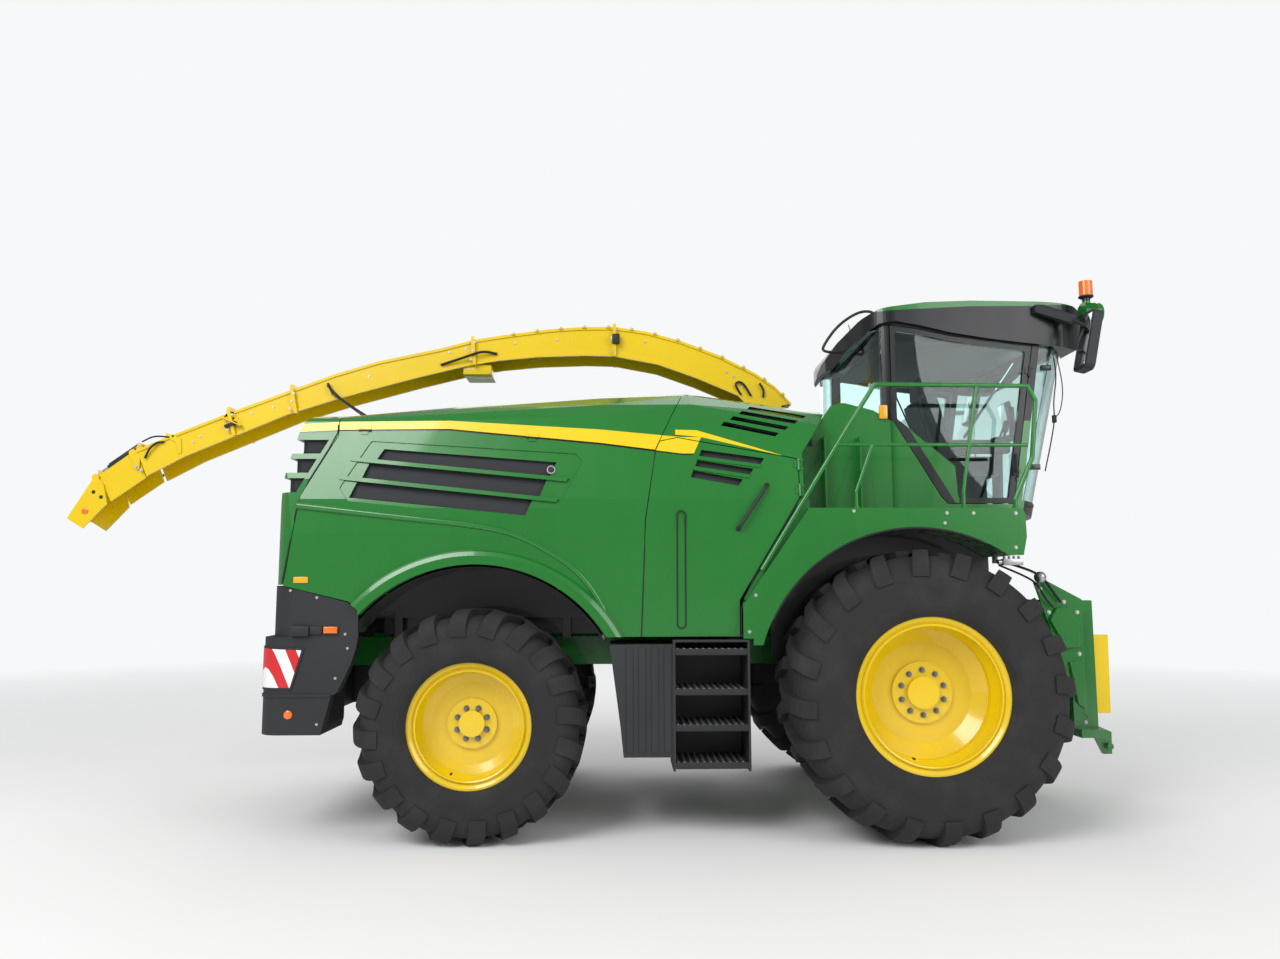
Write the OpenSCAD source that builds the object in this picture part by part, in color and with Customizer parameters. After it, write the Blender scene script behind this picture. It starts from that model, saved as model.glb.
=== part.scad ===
// Self-propelled forage harvester, parked with its spout folded back over the engine hood.
// +X points forward, +Y to the left, +Z up, and the ground is at z = 0.
// Inside the modules x is counted from the front axle; place() moves a piece into the part's frame.

/* [Wheels] */
// Distance between the front and the rear axle
wheelbase = 3200; // [3180:5:3220]
// Radius of the front tyre over its lugs
front_tyre_radius = 1010; // [970:5:1020]
// Width of the front tyre
front_tyre_w = 800; // [700:10:810]
// Distance of the front tyre's centre plane from the middle of the machine
front_track_y = 1280; // [1270:5:1320]
// Outer radius of the front rim's lip
front_lip_r = 540; // [520:5:560]
// How far the front rim's disc lies inboard of its outer lip
front_dish = 282; // [260:2:290]
// Radius of the rear tyre over its lugs
rear_tyre_radius = 805; // [780:5:810]
// Width of the rear tyre
rear_tyre_w = 620; // [580:10:630]
// Distance of the rear tyre's centre plane from the middle of the machine
rear_track_y = 1240; // [1235:5:1260]
// Outer radius of the rear rim's lip
rear_lip_r = 435; // [420:5:445]
// How far the rear rim's disc lies inboard of its outer lip
rear_dish = 183; // [165:2:190]
// How far a tyre's sidewall stands out past the rim's lip
wall_bulge = 75; // [65:5:85]
// Thickness of a rim's sheet
rim_t = 14; // [10:1:18]

/* [Axles] */
// Distance of a rear kingpin from the middle of the machine
kingpin_y = 860; // [850:2:870]
// Radius of a kingpin
kingpin_r = 34; // [28:1:38]
// Radius of the front axle tube
axle_r = 130; // [110:5:140]
// Outer radius of a front final drive
final_drive_r = 300; // [260:5:320]
// Length of a steering arm
steer_arm = 200; // [190:5:210]
// Radius of the tie rod
tie_rod_r = 22; // [18:1:26]

/* [Frame] */
// Distance of a frame rail's centre from the middle of the machine
rail_y = 400; // [395:1:405]
// Width of a frame rail
rail_w = 100; // [80:5:100]
// Height of the underside of the rails
rail_z = 1150; // [1145:5:1165]
// Depth of a frame rail
rail_h = 220; // [200:5:230]
// How far the rails reach behind the front axle
rail_back = 4600; // [4560:10:4620]
// How far the rails reach ahead of the front axle
rail_front = 420; // [400:10:440]

/* [Bodywork] */
// Half width of the bodywork at its lower edge
body_y = 1290; // [1280:2:1300]
// Half width of the bodywork at its widest point
belly_y = 1318; // [1312:2:1324]
// Half width of the bodywork at the top edge of its side panels
shoulder_y = 1212; // [1200:2:1224]
// Height of the lower edge of the side panels
skirt_z = 1405; // [1400:1:1412]
// Height of the crease along the side panels
crease_z = 2400; // [2370:10:2430]
// Thickness of the body panels
panel_t = 24; // [18:1:28]
// Gap between two body panels
seam = 7; // [6:0.5:9]
// Radius of the rear wheel arch
rear_arch_r = 1120; // [1100:5:1140]
// Half width of the fenders over the front wheels
fender_y = 1350; // [1340:2:1370]
// Height of the walkway on the front fenders
deck_z = 2330; // [2320:2:2340]
// Radius of the front wheel arch
front_arch_r = 1180; // [1160:5:1190]
// Half width of the steps and the boxes beside them
step_y = 1350; // [1330:5:1370]

/* [Cab] */
// Half width of the cab over its side windows
cab_y = 950; // [945:1:960]
// Height of the underside of the cab's roof
roof_z = 3850; // [3840:2:3860]
// Half width of the cab's roof
roof_y = 990; // [985:1:1000]
// Thickness of the window glass
glass_t = 8; // [6:1:10]
// Thickness of the cab's walls and posts
cab_t = 60; // [50:2:64]
// Lean of the front posts, in degrees
post_lean = 9; // [8:0.5:10]
// Lean of the windscreen, in degrees
screen_lean = 13; // [12:0.5:14]
// Radius of the windscreen's curve
screen_r = 1500; // [1480:10:1560]

/* [Spout] */
// Distance of the spout's slewing axis behind the front axle
slew_x = 820; // [815:1:830]
// Half width of the spout's steel channel
spout_y = 190; // [180:2:200]
// Thickness of the spout's sheets
spout_t = 14; // [10:1:18]
// Outer radius of the slewing ring
slew_ring_r = 320; // [310:2:330]

/* [Crop intake] */
// Half width of the feed housing
feed_y = 400; // [390:2:410]
// Height of the axis that the feed housing swings on
feed_pivot_z = 1060; // [1050:2:1070]
// Distance of that axis ahead of the front axle
feed_pivot_x = 700; // [690:2:710]
// Radius of the header frame's locking pins
lock_pin_r = 25; // [20:1:28]

/* [Hidden] */
// Running clearance of a pin in its bore
fit = 0.08;
// Clearance between faces that pass each other
gap = 0.3;
$fn = 64;
front_axle_x = 2526.5;
front_hub_z = front_tyre_radius;
rear_hub_z = rear_tyre_radius;
rear_x = -wheelbase;
front_half = front_tyre_w / 2 - wall_bulge;
rear_half = rear_tyre_w / 2 - wall_bulge;
rail_top = rail_z + rail_h;
deck_t = 16;
floor_z = deck_z - deck_t;
green = "#2f8f3a";
yellow = "#f2cf12";
black = "#2b2b30";
steel = "#9a9ca0";
clear = "#8fb0b0";
spindle_r = 60;
// Lugs of the tyres: height over the tread, over the sidewall, depth on the shoulder, width, number in a row
lug_h = 46;
lug_side = 10;
lug_reach = 190;
lug_w = 98;
lug_count = 20;
stub_r = 45;
front_disc_y = front_track_y + front_half - front_dish;
rear_disc_y = rear_track_y + rear_half - rear_dish;
// Rear axle: half width of the beam, half height between the ears, thickness of an ear, rocking pin
beam_x = 75;
ear_z = 132;
ear_t = 36;
rocker_z = rear_hub_z + 120;
rocker_r = 45;
tie_z = rear_hub_z - 92;
tie_x = rear_x + steer_arm;
tie_y = kingpin_y;
tie_pin_r = 15;
tie_drift = 0.3;
// Hinges of the panels and doors
hinge_r = 9;
hinge_pin_r = 4.5;
// Hoops that carry the hood
hoop_x = [-4050, -2080, -1400];
hoop_z = 1640;
// Side of the body: (y, z) from the lower edge up to the shoulder
side_line = [[body_y, skirt_z - 5], [belly_y, 2150], [belly_y - 8, crease_z], [shoulder_y, 2985]];
flank_lean = atan((belly_y - 8 - shoulder_y) / (2985 - crease_z));
function flank_y(z) = shoulder_y + (2985 - z) * tan(flank_lean);
// Crown and shoulder of the hood along the machine, and the shape of a section between them
crown = [[-4235, 3095], [-3420, 3195], [-2300, 3294], [-1620, 3330], [-560, 3180]];
shoulder = [[-4235, 2985], [-3420, 2993], [-2300, 2930], [-1620, 2890], [-560, 2680]];
section_steps = [[45, 0.3], [150, 0.58], [330, 0.82], [560, 0.95], [812, 1]];
function crown_z(x) = lookup(x, crown);
function shoulder_z(x) = lookup(x, shoulder);
// Lower edge of the hood, and the top of the seam between the hood and the middle cowl
hood_edge = [[-4231, 2918], [-3420, 2926], [-2300, 2820], [-1897, 2768]];
seam_top = [-1565, 3480];
slots = [
  [-3893, 2776, -2623, 2675, 2687, 2563], [-3990, 2679, -2690, 2551, 2549, 2409],
  [-4070, 2539, -2790, 2401, 2410, 2278]
];
grille_recess = [
  [-3990, 2836], [-2480, 2740], [-2430, 2680], [-2610, 2330], [-2770, 2245], [-4130, 2385], [-4200, 2480]
];
// Bars of the side grille: x and z of the upper edge's two ends
grille_bars = [[-4110, 2712, -2530, 2556], [-4180, 2572, -2600, 2402]];
// How far the lip of the rear wheel arch stands out
flare = 30;
hinge_stand = hinge_r / cos(flank_lean) + gap;
side_axis_a = [-4200, flank_y(2926.5) + hinge_stand, 2926.5];
side_axis_b = [-1950, flank_y(2831.8) + hinge_stand, 2831.8];
side_yaw = atan((side_axis_b[1] - side_axis_a[1]) / (side_axis_b[0] - side_axis_a[0]));
side_slope = atan((side_axis_a[2] - side_axis_b[2]) * cos(side_yaw) / (side_axis_b[0] - side_axis_a[0]));
tail_rear = [[-4722, 1783], [-4655, 2300], [-4640, 2430], [-4510, 2950], [-4440, 3060], [-4238, 3094]];
tail_front = [[-4238, 2880], [-4480, 2420], [-4550, 1960], [-4579, 1783]];
tail_low = [[body_y, 1400], [belly_y, 2150]];
function tail_seam_x(z) = lookup(z, [[2420, -4480], [2880, -4238]]);
mid_axis_x = -838;
gate_axis_x = -4234.5;
gate_axis_z = 3095 + hinge_r;
bumper_z = 725;
step_z = [1290, 1010, 760, 500];
rail_tube = 17;
lean = tan(post_lean);
// Position of the front posts' rear edge at a height
function post_x(z) = 880 + lean * (z - 2365);
door_in = 40;
roof_lamp_y = [-520, -180, 180, 520];
roof_lamp_z = 3890;
roof_lamp_r = 34;
ring_z = 2960;
slew_bore_r = slew_ring_r - 110;
// Upper and lower edges of the spout's side plates, from the base to the tip and back
spout_top = [
  [-690, 3330], [-830, 3478], [-997, 3592], [-1308, 3748], [-1623, 3870], [-1933, 3955], [-2205, 3995],
  [-2500, 3992], [-2769, 3972], [-3146, 3921], [-3400, 3880], [-3700, 3800], [-4213, 3690], [-4588, 3575],
  [-5410, 3262], [-5937, 3048], [-6228, 2922]
];
spout_low = [
  [-6135, 2700], [-5819, 2869], [-4980, 3225], [-4529, 3370], [-3910, 3540], [-3509, 3640], [-3203, 3695],
  [-2870, 3728], [-2458, 3742], [-2205, 3736], [-1831, 3665], [-1497, 3545], [-1146, 3395], [-1010, 3250]
];
// Bolted joints across the spout: x and the heights of the upper and lower ends, and how far the upper end leads
spout_joints = [[-3400, 3880, 3656, -20], [-2205, 3995, 3737, 0], [-5410, 3262, 3044, -60], [-4900, 3456, 3235, -46]];
lift_x = -850;
lift_z = 3190;
lift_hinge_r = 20;
flap_y = spout_y - spout_t - 5;
flap_axis = [-6264, 2898];
tip_axis = [-6560, 2690];
flap_pin_r = 12;
feed_pin_r = 60;
// Lift cylinders: the barrel's pin and the rod's lug as (x, z), and the distance from the middle
lift_pin = [320, 700];
lift_lug = [1200, 560];
lift_y = 300;
lift_pin_r = 25;
lift_rod_r = 26;
lug_pin_r = 18;
lug_drift = 14;
lift_angle = atan2(lift_pin[1] - lift_lug[1], lift_lug[0] - lift_pin[0]);
lift_len = norm(lift_lug - lift_pin);

// Moves a piece from axle coordinates into the part's frame.
module place() translate([front_axle_x, 0, 0]) children();

// Extrudes an (x, z) outline across the machine from y0 to y1.
module across(y0, y1) translate([0, y1, 0]) rotate([90, 0, 0]) linear_extrude(y1 - y0) children();

// Extrudes a (y, z) outline along the machine from x0 to x1.
module along(x0, x1) translate([x0, 0, 0]) rotate([90, 0, 90]) linear_extrude(x1 - x0) children();

// Draws its children on one side: 1 for the left, -1 for the right.
module on_side(s) mirror([0, s < 0 ? 1 : 0, 0]) children();

module both_sides() for (s = [1, -1]) on_side(s) children();

// A box given by its low and high corners.
module block(p, q) translate(p) cube(q - p);

// A round bar from p to q.
module bar(p, q, r) {
  v = q - p;
  translate(p) rotate([0, acos(v[2] / norm(v)), atan2(v[1], v[0])]) cylinder(h = norm(v), r = r);
}

// A bent tube with slightly proud elbows.
module tube(path, r) {
  for (i = [0 : len(path) - 2]) bar(path[i], path[i + 1], r);
  for (i = [1 : len(path) - 2]) translate(path[i]) sphere(r * 1.06);
}

// A cylinder along y, from y0 to y1, at (x, z).
module cyl_y(x, z, y0, y1, r) translate([x, y1, z]) rotate([90, 0, 0]) cylinder(h = y1 - y0, r = r);

// A cylinder along x, from x0 to x1, at (y, z).
module cyl_x(y, z, x0, x1, r) translate([x0, y, z]) rotate([0, 90, 0]) cylinder(h = x1 - x0, r = r);

// Turns +z outwards to the left and moves to a wheel's centre.
module wheel_at(x, y, z) translate([x, y, z]) rotate([-90, 0, 0]) children();

// Hinges: the axis is the local z, the fixed side lies towards +x and the outer face towards +y

module hinge_fixed(sink = 0.5) {
  cylinder(h = 90, r = hinge_pin_r, center = true);
  for (z = [-45, 26]) translate([0, 0, z]) {
    cylinder(h = 19, r = hinge_r);
    translate([2, -hinge_r - sink, 0]) cube([32, 5.5 + sink, 19]);
  }
}

module hinge_moving(sink = 0.5) {
  difference() {
    union() {
      cylinder(h = 50, r = hinge_r, center = true);
      translate([-34, -hinge_r - sink, -25]) cube([34, 5.5 + sink, 50]);
    }
    cylinder(h = 60, r = hinge_pin_r + fit, center = true);
  }
}

module side_hinges() for (t = [0.07, 0.62]) translate(side_axis_a + t * (side_axis_b - side_axis_a))
  rotate([0, side_slope - 90, side_yaw]) rotate([0, 0, -flank_lean]) children();

module mid_hinges() for (z = [2465, 2660]) translate([mid_axis_x, flank_y(z) + hinge_stand, z])
  rotate([flank_lean, 0, 0]) children();

module gate_hinges() for (y = [-520, 520]) translate([gate_axis_x, y, gate_axis_z])
  rotate([90, 0, 0]) children();

module door_hinges() for (z = [2620, 3440]) translate([post_x(z) + seam / 2, cab_y + hinge_r, z])
  rotate([0, post_lean, 0]) children();

// Wheels

module rim(lip_r, half, dish, rise, bore_r) {
  seat_r = lip_r - 34;
  well_r = lip_r - 72;
  disc_z = half - dish;
  rotate_extrude() polygon([
    [lip_r, -half], [lip_r, rim_t - half], [seat_r, rim_t - half], [seat_r, 90 - half],
    [well_r, 150 - half], [well_r, half - 150], [seat_r, half - 90], [seat_r, half - rim_t],
    [lip_r, half - rim_t], [lip_r, half], [lip_r - rim_t, half], [seat_r - rim_t, half - 25],
    [seat_r - rim_t, half - 94], [well_r - rim_t, half - 156], [well_r - rim_t, 156 - half],
    [seat_r - rim_t, 94 - half], [seat_r - rim_t, 25 - half], [lip_r - rim_t, -half]
  ]);
  rotate_extrude() polygon([
    [well_r - 4, disc_z + rise], [0.66 * lip_r, disc_z], [bore_r + fit, disc_z],
    [bore_r + fit, disc_z - rim_t], [0.67 * lip_r, disc_z - rim_t], [well_r - 4, disc_z + rise - rim_t * 1.5]
  ]);
  // Hub with its bolt flange and cap
  difference() {
    union() {
      translate([0, 0, disc_z - rim_t]) cylinder(h = rim_t + 24, r = 0.4 * lip_r);
      translate([0, 0, disc_z]) cylinder(h = 58, r = 0.21 * lip_r);
    }
    translate([0, 0, disc_z - rim_t - 1]) cylinder(h = rim_t + 1 + 40, r = bore_r + fit);
  }
}

// Section of a tyre: a rounded box from the rim's seat out to radius
module tyre_section(radius, width, lip_r) {
  corner = 0.2 * width;
  inner_r = lip_r - 40;
  difference() {
    translate([inner_r + corner, corner - width / 2]) offset(r = corner, $fn = 24)
      square([radius - inner_r - 2 * corner, width - 2 * corner]);
    translate([0, -width]) square([lip_r + gap, 2 * width]);
  }
}

module tyre(radius, width, lip_r, half) {
  seat_r = lip_r - 34;
  side = width / 2;
  rotate_extrude($fn = 96) {
    tyre_section(radius - lug_h, width - 2 * lug_side, lip_r);
    translate([seat_r + gap, rim_t + gap - half]) square([lip_r - seat_r + 20, 2 * (half - rim_t - gap)]);
  }
  // Lugs in two rows, each leading in the middle of the tread
  intersection() {
    rotate_extrude($fn = 96) tyre_section(radius, width, lip_r);
    for (i = [0 : lug_count - 1]) for (row = [0, 1]) rotate([0, 0, (i + row / 2) * 360 / lug_count])
      mirror([0, 0, row]) translate([radius - lug_reach, 0, 0]) rotate([90, 0, 90]) linear_extrude(lug_reach + 20)
        polygon([[lug_w, -24], [lug_w * 0.35, 0.4 * side], [-lug_w * 0.3, side + 20], [-lug_w * 1.5, side + 20],
          [-lug_w * 0.75, 0.5 * side], [lug_w * 0.1, -24]]);
  }
}

module front_rim(s) color(yellow)
  on_side(s) wheel_at(0, front_track_y, front_hub_z) rim(front_lip_r, front_half, front_dish, 78, spindle_r);

module rear_rim(s) color(yellow)
  on_side(s) wheel_at(rear_x, rear_track_y, rear_hub_z) rim(rear_lip_r, rear_half, rear_dish, 28, stub_r);

module front_tyre(s) color(black)
  on_side(s) wheel_at(0, front_track_y, front_hub_z)
    tyre(front_tyre_radius, front_tyre_w, front_lip_r, front_half);

module rear_tyre(s) color(black)
  on_side(s) wheel_at(rear_x, rear_track_y, rear_hub_z)
    tyre(rear_tyre_radius, rear_tyre_w, rear_lip_r, rear_half);

// Axles

module front_axle() color(green) {
  cyl_y(0, front_hub_z, -620, 620, axle_r);
  both_sides() {
    cyl_y(0, front_hub_z, 560, front_disc_y - rim_t - 60, final_drive_r - 40);
    cyl_y(0, front_hub_z, 640, 840, final_drive_r);
    cyl_y(0, front_hub_z, 700, front_disc_y - rim_t - gap, 170);
    cyl_y(0, front_hub_z, 700, front_disc_y + 26 - gap, spindle_r);
    block([-150, rail_y - rail_w / 2, front_hub_z], [150, rail_y + rail_w / 2, rail_z]);
  }
}

module rear_axle() color(green) {
  difference() {
    union() {
      block([rear_x - beam_x, -700, rear_hub_z - 105], [rear_x + beam_x, 700, rear_hub_z + 105]);
      both_sides() for (z = [rear_hub_z - ear_z - ear_t, rear_hub_z + ear_z]) translate([0, 0, z])
        linear_extrude(ear_t) hull() {
          translate([rear_x, kingpin_y]) circle(58);
          translate([rear_x - beam_x, 620]) square([2 * beam_x, 20]);
        }
      both_sides() block([rear_x - beam_x, 600, rear_hub_z - ear_z - ear_t],
        [rear_x + beam_x, 700, rear_hub_z + ear_z + ear_t]);
      cyl_x(0, rocker_z, rear_x - 110, rear_x + 110, 90);
    }
    both_sides() translate([rear_x, kingpin_y, 0]) cylinder(h = 2 * rear_hub_z, r = kingpin_r + fit);
    cyl_x(0, rocker_z, rear_x - 120, rear_x + 120, rocker_r + fit);
  }
}

module knuckle(s) color(black) on_side(s) {
  translate([rear_x, kingpin_y, rear_hub_z - ear_z + gap]) cylinder(h = 2 * (ear_z - gap), r = 56);
  translate([rear_x, kingpin_y, rear_hub_z - 176]) cylinder(h = 352, r = kingpin_r);
  cyl_y(rear_x, rear_hub_z, kingpin_y, rear_disc_y - rim_t - gap, 72);
  cyl_y(rear_x, rear_hub_z, kingpin_y, rear_disc_y + 26 - gap, stub_r);
  // Steering arm with the tie rod's pin
  translate([0, 0, tie_z + tie_rod_r + gap]) linear_extrude(26) hull() {
    translate([rear_x, kingpin_y]) circle(50);
    translate([tie_x, tie_y]) circle(30);
  }
  translate([tie_x, tie_y, tie_z - tie_rod_r - 4]) cylinder(h = 60, r = tie_pin_r);
}

module tie_rod() color(steel) difference() {
  union() {
    cyl_y(tie_x, tie_z, -tie_y, tie_y, tie_rod_r);
    for (y = [-tie_y, tie_y]) translate([tie_x, y, tie_z - tie_rod_r])
      cylinder(h = 2 * tie_rod_r, r = tie_pin_r + tie_drift + 22);
  }
  both_sides() translate([tie_x, tie_y, 0]) cylinder(h = 2 * tie_z, r = tie_pin_r + tie_drift);
}

// Frame, engine and cooling

module main_frame() color(black) {
  inner = rail_y - rail_w / 2;
  outer = rail_y + rail_w / 2;
  both_sides() block([-rail_back, inner, rail_z], [rail_front, outer, rail_top]);
  for (x = [-4560, rear_x - 460, rear_x + 370, -1900, -1250])
    block([x, -rail_y, rail_z + 30], [x + 90, rail_y, rail_top - 30]);
  // Hangers with the rear axle's rocking pin
  for (x = [rear_x - 142, rear_x + 112]) {
    block([x, -160, rocker_z - 80], [x + 30, 160, rail_top - 30]);
    block([x, -rail_y, rail_z + 30], [x + 30, rail_y, rail_top - 30]);
  }
  cyl_x(0, rocker_z, rear_x - 130, rear_x + 130, rocker_r);
  // Posts and outriggers under the cab and the walkways
  for (x = [-520, 480]) {
    both_sides() block([x, rail_y - 40, rail_top], [x + 80, rail_y + 40, floor_z - 80]);
    block([x, -1200, floor_z - 80], [x + 80, 1200, floor_z]);
  }
  both_sides() block([-520, rail_y - 40, rail_z + 40], [-440, rail_y + 40, floor_z - 60]);
  both_sides() block([400, rail_y - 40, rail_z + 40], [560, rail_y + 40, rail_top + 60]);
  // Plates at the front that carry the feed housing's pivots
  both_sides() difference() {
    across(feed_y + 10, feed_y + 40) hull() {
      translate([feed_pivot_x, feed_pivot_z]) circle(110);
      translate([180, rail_z]) square([150, rail_h]);
    }
    cyl_y(feed_pivot_x, feed_pivot_z, feed_y, feed_y + 60, feed_pin_r + fit);
  }
  // Cheeks with the pins of the lift cylinders
  both_sides() {
    across(lift_y + 35, lift_y + 60) hull() {
      translate([lift_pin[0], lift_pin[1]]) circle(60);
      translate([lift_pin[0] - 70, rail_z]) square([140, 60]);
    }
    cyl_y(lift_pin[0], lift_pin[1], lift_y - 45, lift_y + 50, lift_pin_r);
  }
}

module body_frame() color(black) {
  for (x = hoop_x) {
    both_sides() block([x, rail_y - 40, rail_top], [x + 60, rail_y + 40, hoop_z]);
    block([x, -1160, hoop_z], [x + 60, 1160, hoop_z + 60]);
    both_sides() block([x, 1100, hoop_z], [x + 60, 1160, 2780]);
    block([x, -1160, 2720], [x + 60, 1160, 2780]);
    both_sides() block([x, 250, 2720], [x + 60, 310, min(crown_z(x), crown_z(x + 60)) - panel_t - gap]);
  }
  // Liners over the rear wheels and shields beside the engine
  both_sides() {
    across(720, 1180) intersection() {
      translate([rear_x - 20, rear_hub_z]) difference() {
        circle(rear_arch_r - 14, $fn = 128);
        circle(rear_arch_r - 20, $fn = 128);
      }
      translate([-4130, rear_hub_z + 560]) square([2130, 900]);
    }
    across(720, 726) intersection() {
      translate([rear_x - 20, rear_hub_z]) circle(rear_arch_r - 17, $fn = 128);
      translate([-4300, rear_hub_z + 725]) square([2300, 900]);
    }
    for (x = [-3900, -2600]) {
      block([x, rail_y, rail_top], [x + 60, 726, rail_top + 40]);
      block([x, 706, rail_top], [x + 60, 726, 1560]);
    }
  }
}

module engine() color(black) {
  block([rear_x - 380, -700, 1660], [rear_x + 520, 700, 2650]);
  for (x = [rear_x - 330, rear_x + 380]) both_sides()
    block([x, rail_y - 40, rail_top], [x + 90, rail_y + 40, 1660]);
}

module cooling_pack() color(black) {
  block([-4380, -1000, 1560], [-4150, 1000, 2680]);
  both_sides() block([-4380, rail_y - 40, rail_top], [-4150, rail_y + 40, 1560]);
}

// Bodywork

// Outline of a section across the hood at x, inset by t
function half_section(x, t) = let (z = shoulder_z(x), h = crown_z(x) - z) concat(
  [[flank_y(2550) - t, 2550 - 3 * t], [flank_y(z) - t, z - t / 2]],
  [for (k = section_steps) [flank_y(z) - k[0] - t, z + k[1] * h - t]]
);
function hood_section(x, t) = let (half = half_section(x, t)) concat(
  half, [for (i = [len(half) - 1 : -1 : 0]) [-half[i][0], half[i][1]]]
);

// Loft through the hood's stations, running past its ends by spare
module hood_loft(stations, t, spare) {
  last = len(stations) - 1;
  for (i = [0 : last - 1]) hull() for (j = [i, i + 1])
    translate([stations[j] - (j - i) + (j == 0 ? -spare : j == last ? spare : 0), 0, 0])
      rotate([90, 0, 90]) linear_extrude(1) polygon(hood_section(stations[j], t));
}

module hood_region() across(-1500, 1500) polygon(concat(
  [for (p = hood_edge) p + [0, seam / 2]],
  [[seam_top[0] - seam / 2, seam_top[1]], [-4231, 3500]]
));

module hood() color(green) {
  intersection() {
    difference() {
      hood_loft([-4231, -3420, -2300, -1620], 0, 0);
      hood_loft([-4231, -3420, -2300, -1620], panel_t, 5);
    }
    hood_region();
  }
  both_sides() side_hinges() hinge_fixed();
  gate_hinges() hinge_fixed(4);
}

module mid_cowl() color(green) {
  difference() {
    intersection() {
      difference() {
        hood_loft([-1960, -1620, -560], 0, 0);
        hood_loft([-1960, -1620, -560], panel_t, 5);
      }
      across(-1500, 1500) polygon([
        [-1859, 2842], [-1730, 2868], [-940, 2725], [-834, 2703], [-640, 3000], [-510, 3180],
        [-510, 3500], [seam_top[0] + seam / 2, seam_top[1]]
      ]);
    }
    translate([-slew_x, 0, 2400]) cylinder(h = 1200, r = slew_ring_r + 20);
    both_sides() for (k = [0 : 3]) across(640, 1400) polygon([
      [-1150 - 74 * k, 3150 - 52 * k], [-720 - 82 * k, 3072 - 56 * k], [-752 - 82 * k, 3044 - 56 * k],
      [-1180 - 74 * k, 3118 - 52 * k]
    ]);
  }
  // Posts that carry the middle panels' hinges, and the neck behind the cab
  both_sides() {
    along(mid_axis_x + seam / 2, mid_axis_x + 30) polygon([
      [flank_y(2420) - 14, deck_z + gap], [flank_y(2420) - 14, 2416], [flank_y(2416), 2416],
      [flank_y(2760), 2760], [flank_y(2760) - 50, 2760], [1180, deck_z + gap]
    ]);
    mid_hinges() hinge_fixed();
    across(cab_y + gap, cab_y + panel_t) polygon([
      [-834, deck_z + gap], [-60, deck_z + gap], [-60, 3040], [-190, 3120], [-420, 3180], [-520, 3160], [-640, 2990],
      [-834, 2690]
    ]);
    block([-834, cab_y + gap, deck_z + gap], [-810, 1200, 2680]);
    for (x = [-600, -330]) across(cab_y + 10, cab_y + 130) polygon([
      [x, deck_z + gap], [x + 12, deck_z + gap], [x + 12, 2900], [x, 2900]
    ]);
  }
}

module side_sheet(x0, x1) along(x0, x1) polygon(concat(
  side_line, [for (i = [len(side_line) - 1 : -1 : 0]) [side_line[i][0] - panel_t, side_line[i][1]]]
));

rear_panel = concat(
  [for (p = hood_edge) p - [0, seam / 2]],
  [[-1974, 2246], [-2005, skirt_z], [-4020, skirt_z], [-4027, 1600], [-4106, 1662], [-4572, 1776]],
  [for (i = [len(tail_front) - 2 : -1 : 0]) tail_front[i] + [seam, 0]]
);

// Slab along the leaning flank, from d0 to d1 outside its surface
module flank_slab(d0, d1) along(-4700, -700) polygon([
  [flank_y(2200) + d0, 2200], [flank_y(2990) + d0, 2990], [flank_y(2990) + d1, 2990], [flank_y(2200) + d1, 2200]
]);

module side_panel(s) color(green) on_side(s) {
  // Flared lip round the wheel arch
  intersection() {
    wheel_at(rear_x, 0, rear_hub_z) rotate_extrude($fn = 96) polygon([
      [rear_arch_r, belly_y - 60], [rear_arch_r, belly_y + flare], [rear_arch_r + 62, belly_y + flare],
      [rear_arch_r + 92, belly_y + flare * 0.6], [rear_arch_r + 112, belly_y - 20], [rear_arch_r + 112, belly_y - 60]
    ]);
    across(1100, 1400) polygon(rear_panel);
  }
  // Bars across the cooling grille
  intersection() {
    flank_slab(-panel_t, 10);
    across(1100, 1400) for (q = grille_bars) polygon([
      [q[0], q[1]], [q[2], q[3]], [q[2] - 24, q[3] - 27], [q[0] - 24, q[1] - 27]
    ]);
  }
  difference() {
    intersection() {
      side_sheet(-4700, -1800);
      across(1100, 1400) polygon(rear_panel);
    }
    cyl_y(rear_x, rear_hub_z, 0, 2000, rear_arch_r);
    for (q = slots) across(1100, 1400) polygon([
      [q[0], q[1]], [q[2], q[3]], [q[2] - 55, q[5]], [q[0] - 55, q[4]]
    ]);
    // Shallow recess round the grille
    intersection() {
      flank_slab(-9, 60);
      across(1100, 1400) offset(r = 30) offset(delta = -30) polygon(grille_recess);
    }
  }
  side_hinges() hinge_moving();
}

mid_front = mid_axis_x - seam / 2;
mid_outline = [
  [-1859, 2842 - seam], [-1730, 2868 - seam], [-940, 2725 - seam], [mid_front, 2703 - seam],
  [mid_front, 2413], [-1290, 1666], [-1290, skirt_z], [-2005 + seam, skirt_z], [-1974 + seam, 2246],
  [-1897 + seam, 2768]
];
module mid_panel(s) color(green) on_side(s) {
  difference() {
    intersection() {
      side_sheet(-2100, -700);
      across(1100, 1400) polygon(mid_outline);
    }
    for (k = [0 : 2]) across(1100, 1400) polygon([
      [-1552 - 32 * k, 2770 - 78 * k], [-1090 - 82 * k, 2706 - 80 * k], [-1122 - 82 * k, 2654 - 78 * k],
      [-1574 - 32 * k, 2718 - 78 * k]
    ]);
  }
  // Slats over the lower edges of the louvres
  intersection() {
    flank_slab(-panel_t, 8);
    across(1100, 1400) for (k = [0, 1]) polygon([
      [-1580 - 32 * k, 2724 - 78 * k], [-1110 - 82 * k, 2658 - 78 * k], [-1124 - 82 * k, 2634 - 79 * k],
      [-1588 - 32 * k, 2697 - 78 * k]
    ]);
  }
  mid_hinges() hinge_moving();
}

// Tail

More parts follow.
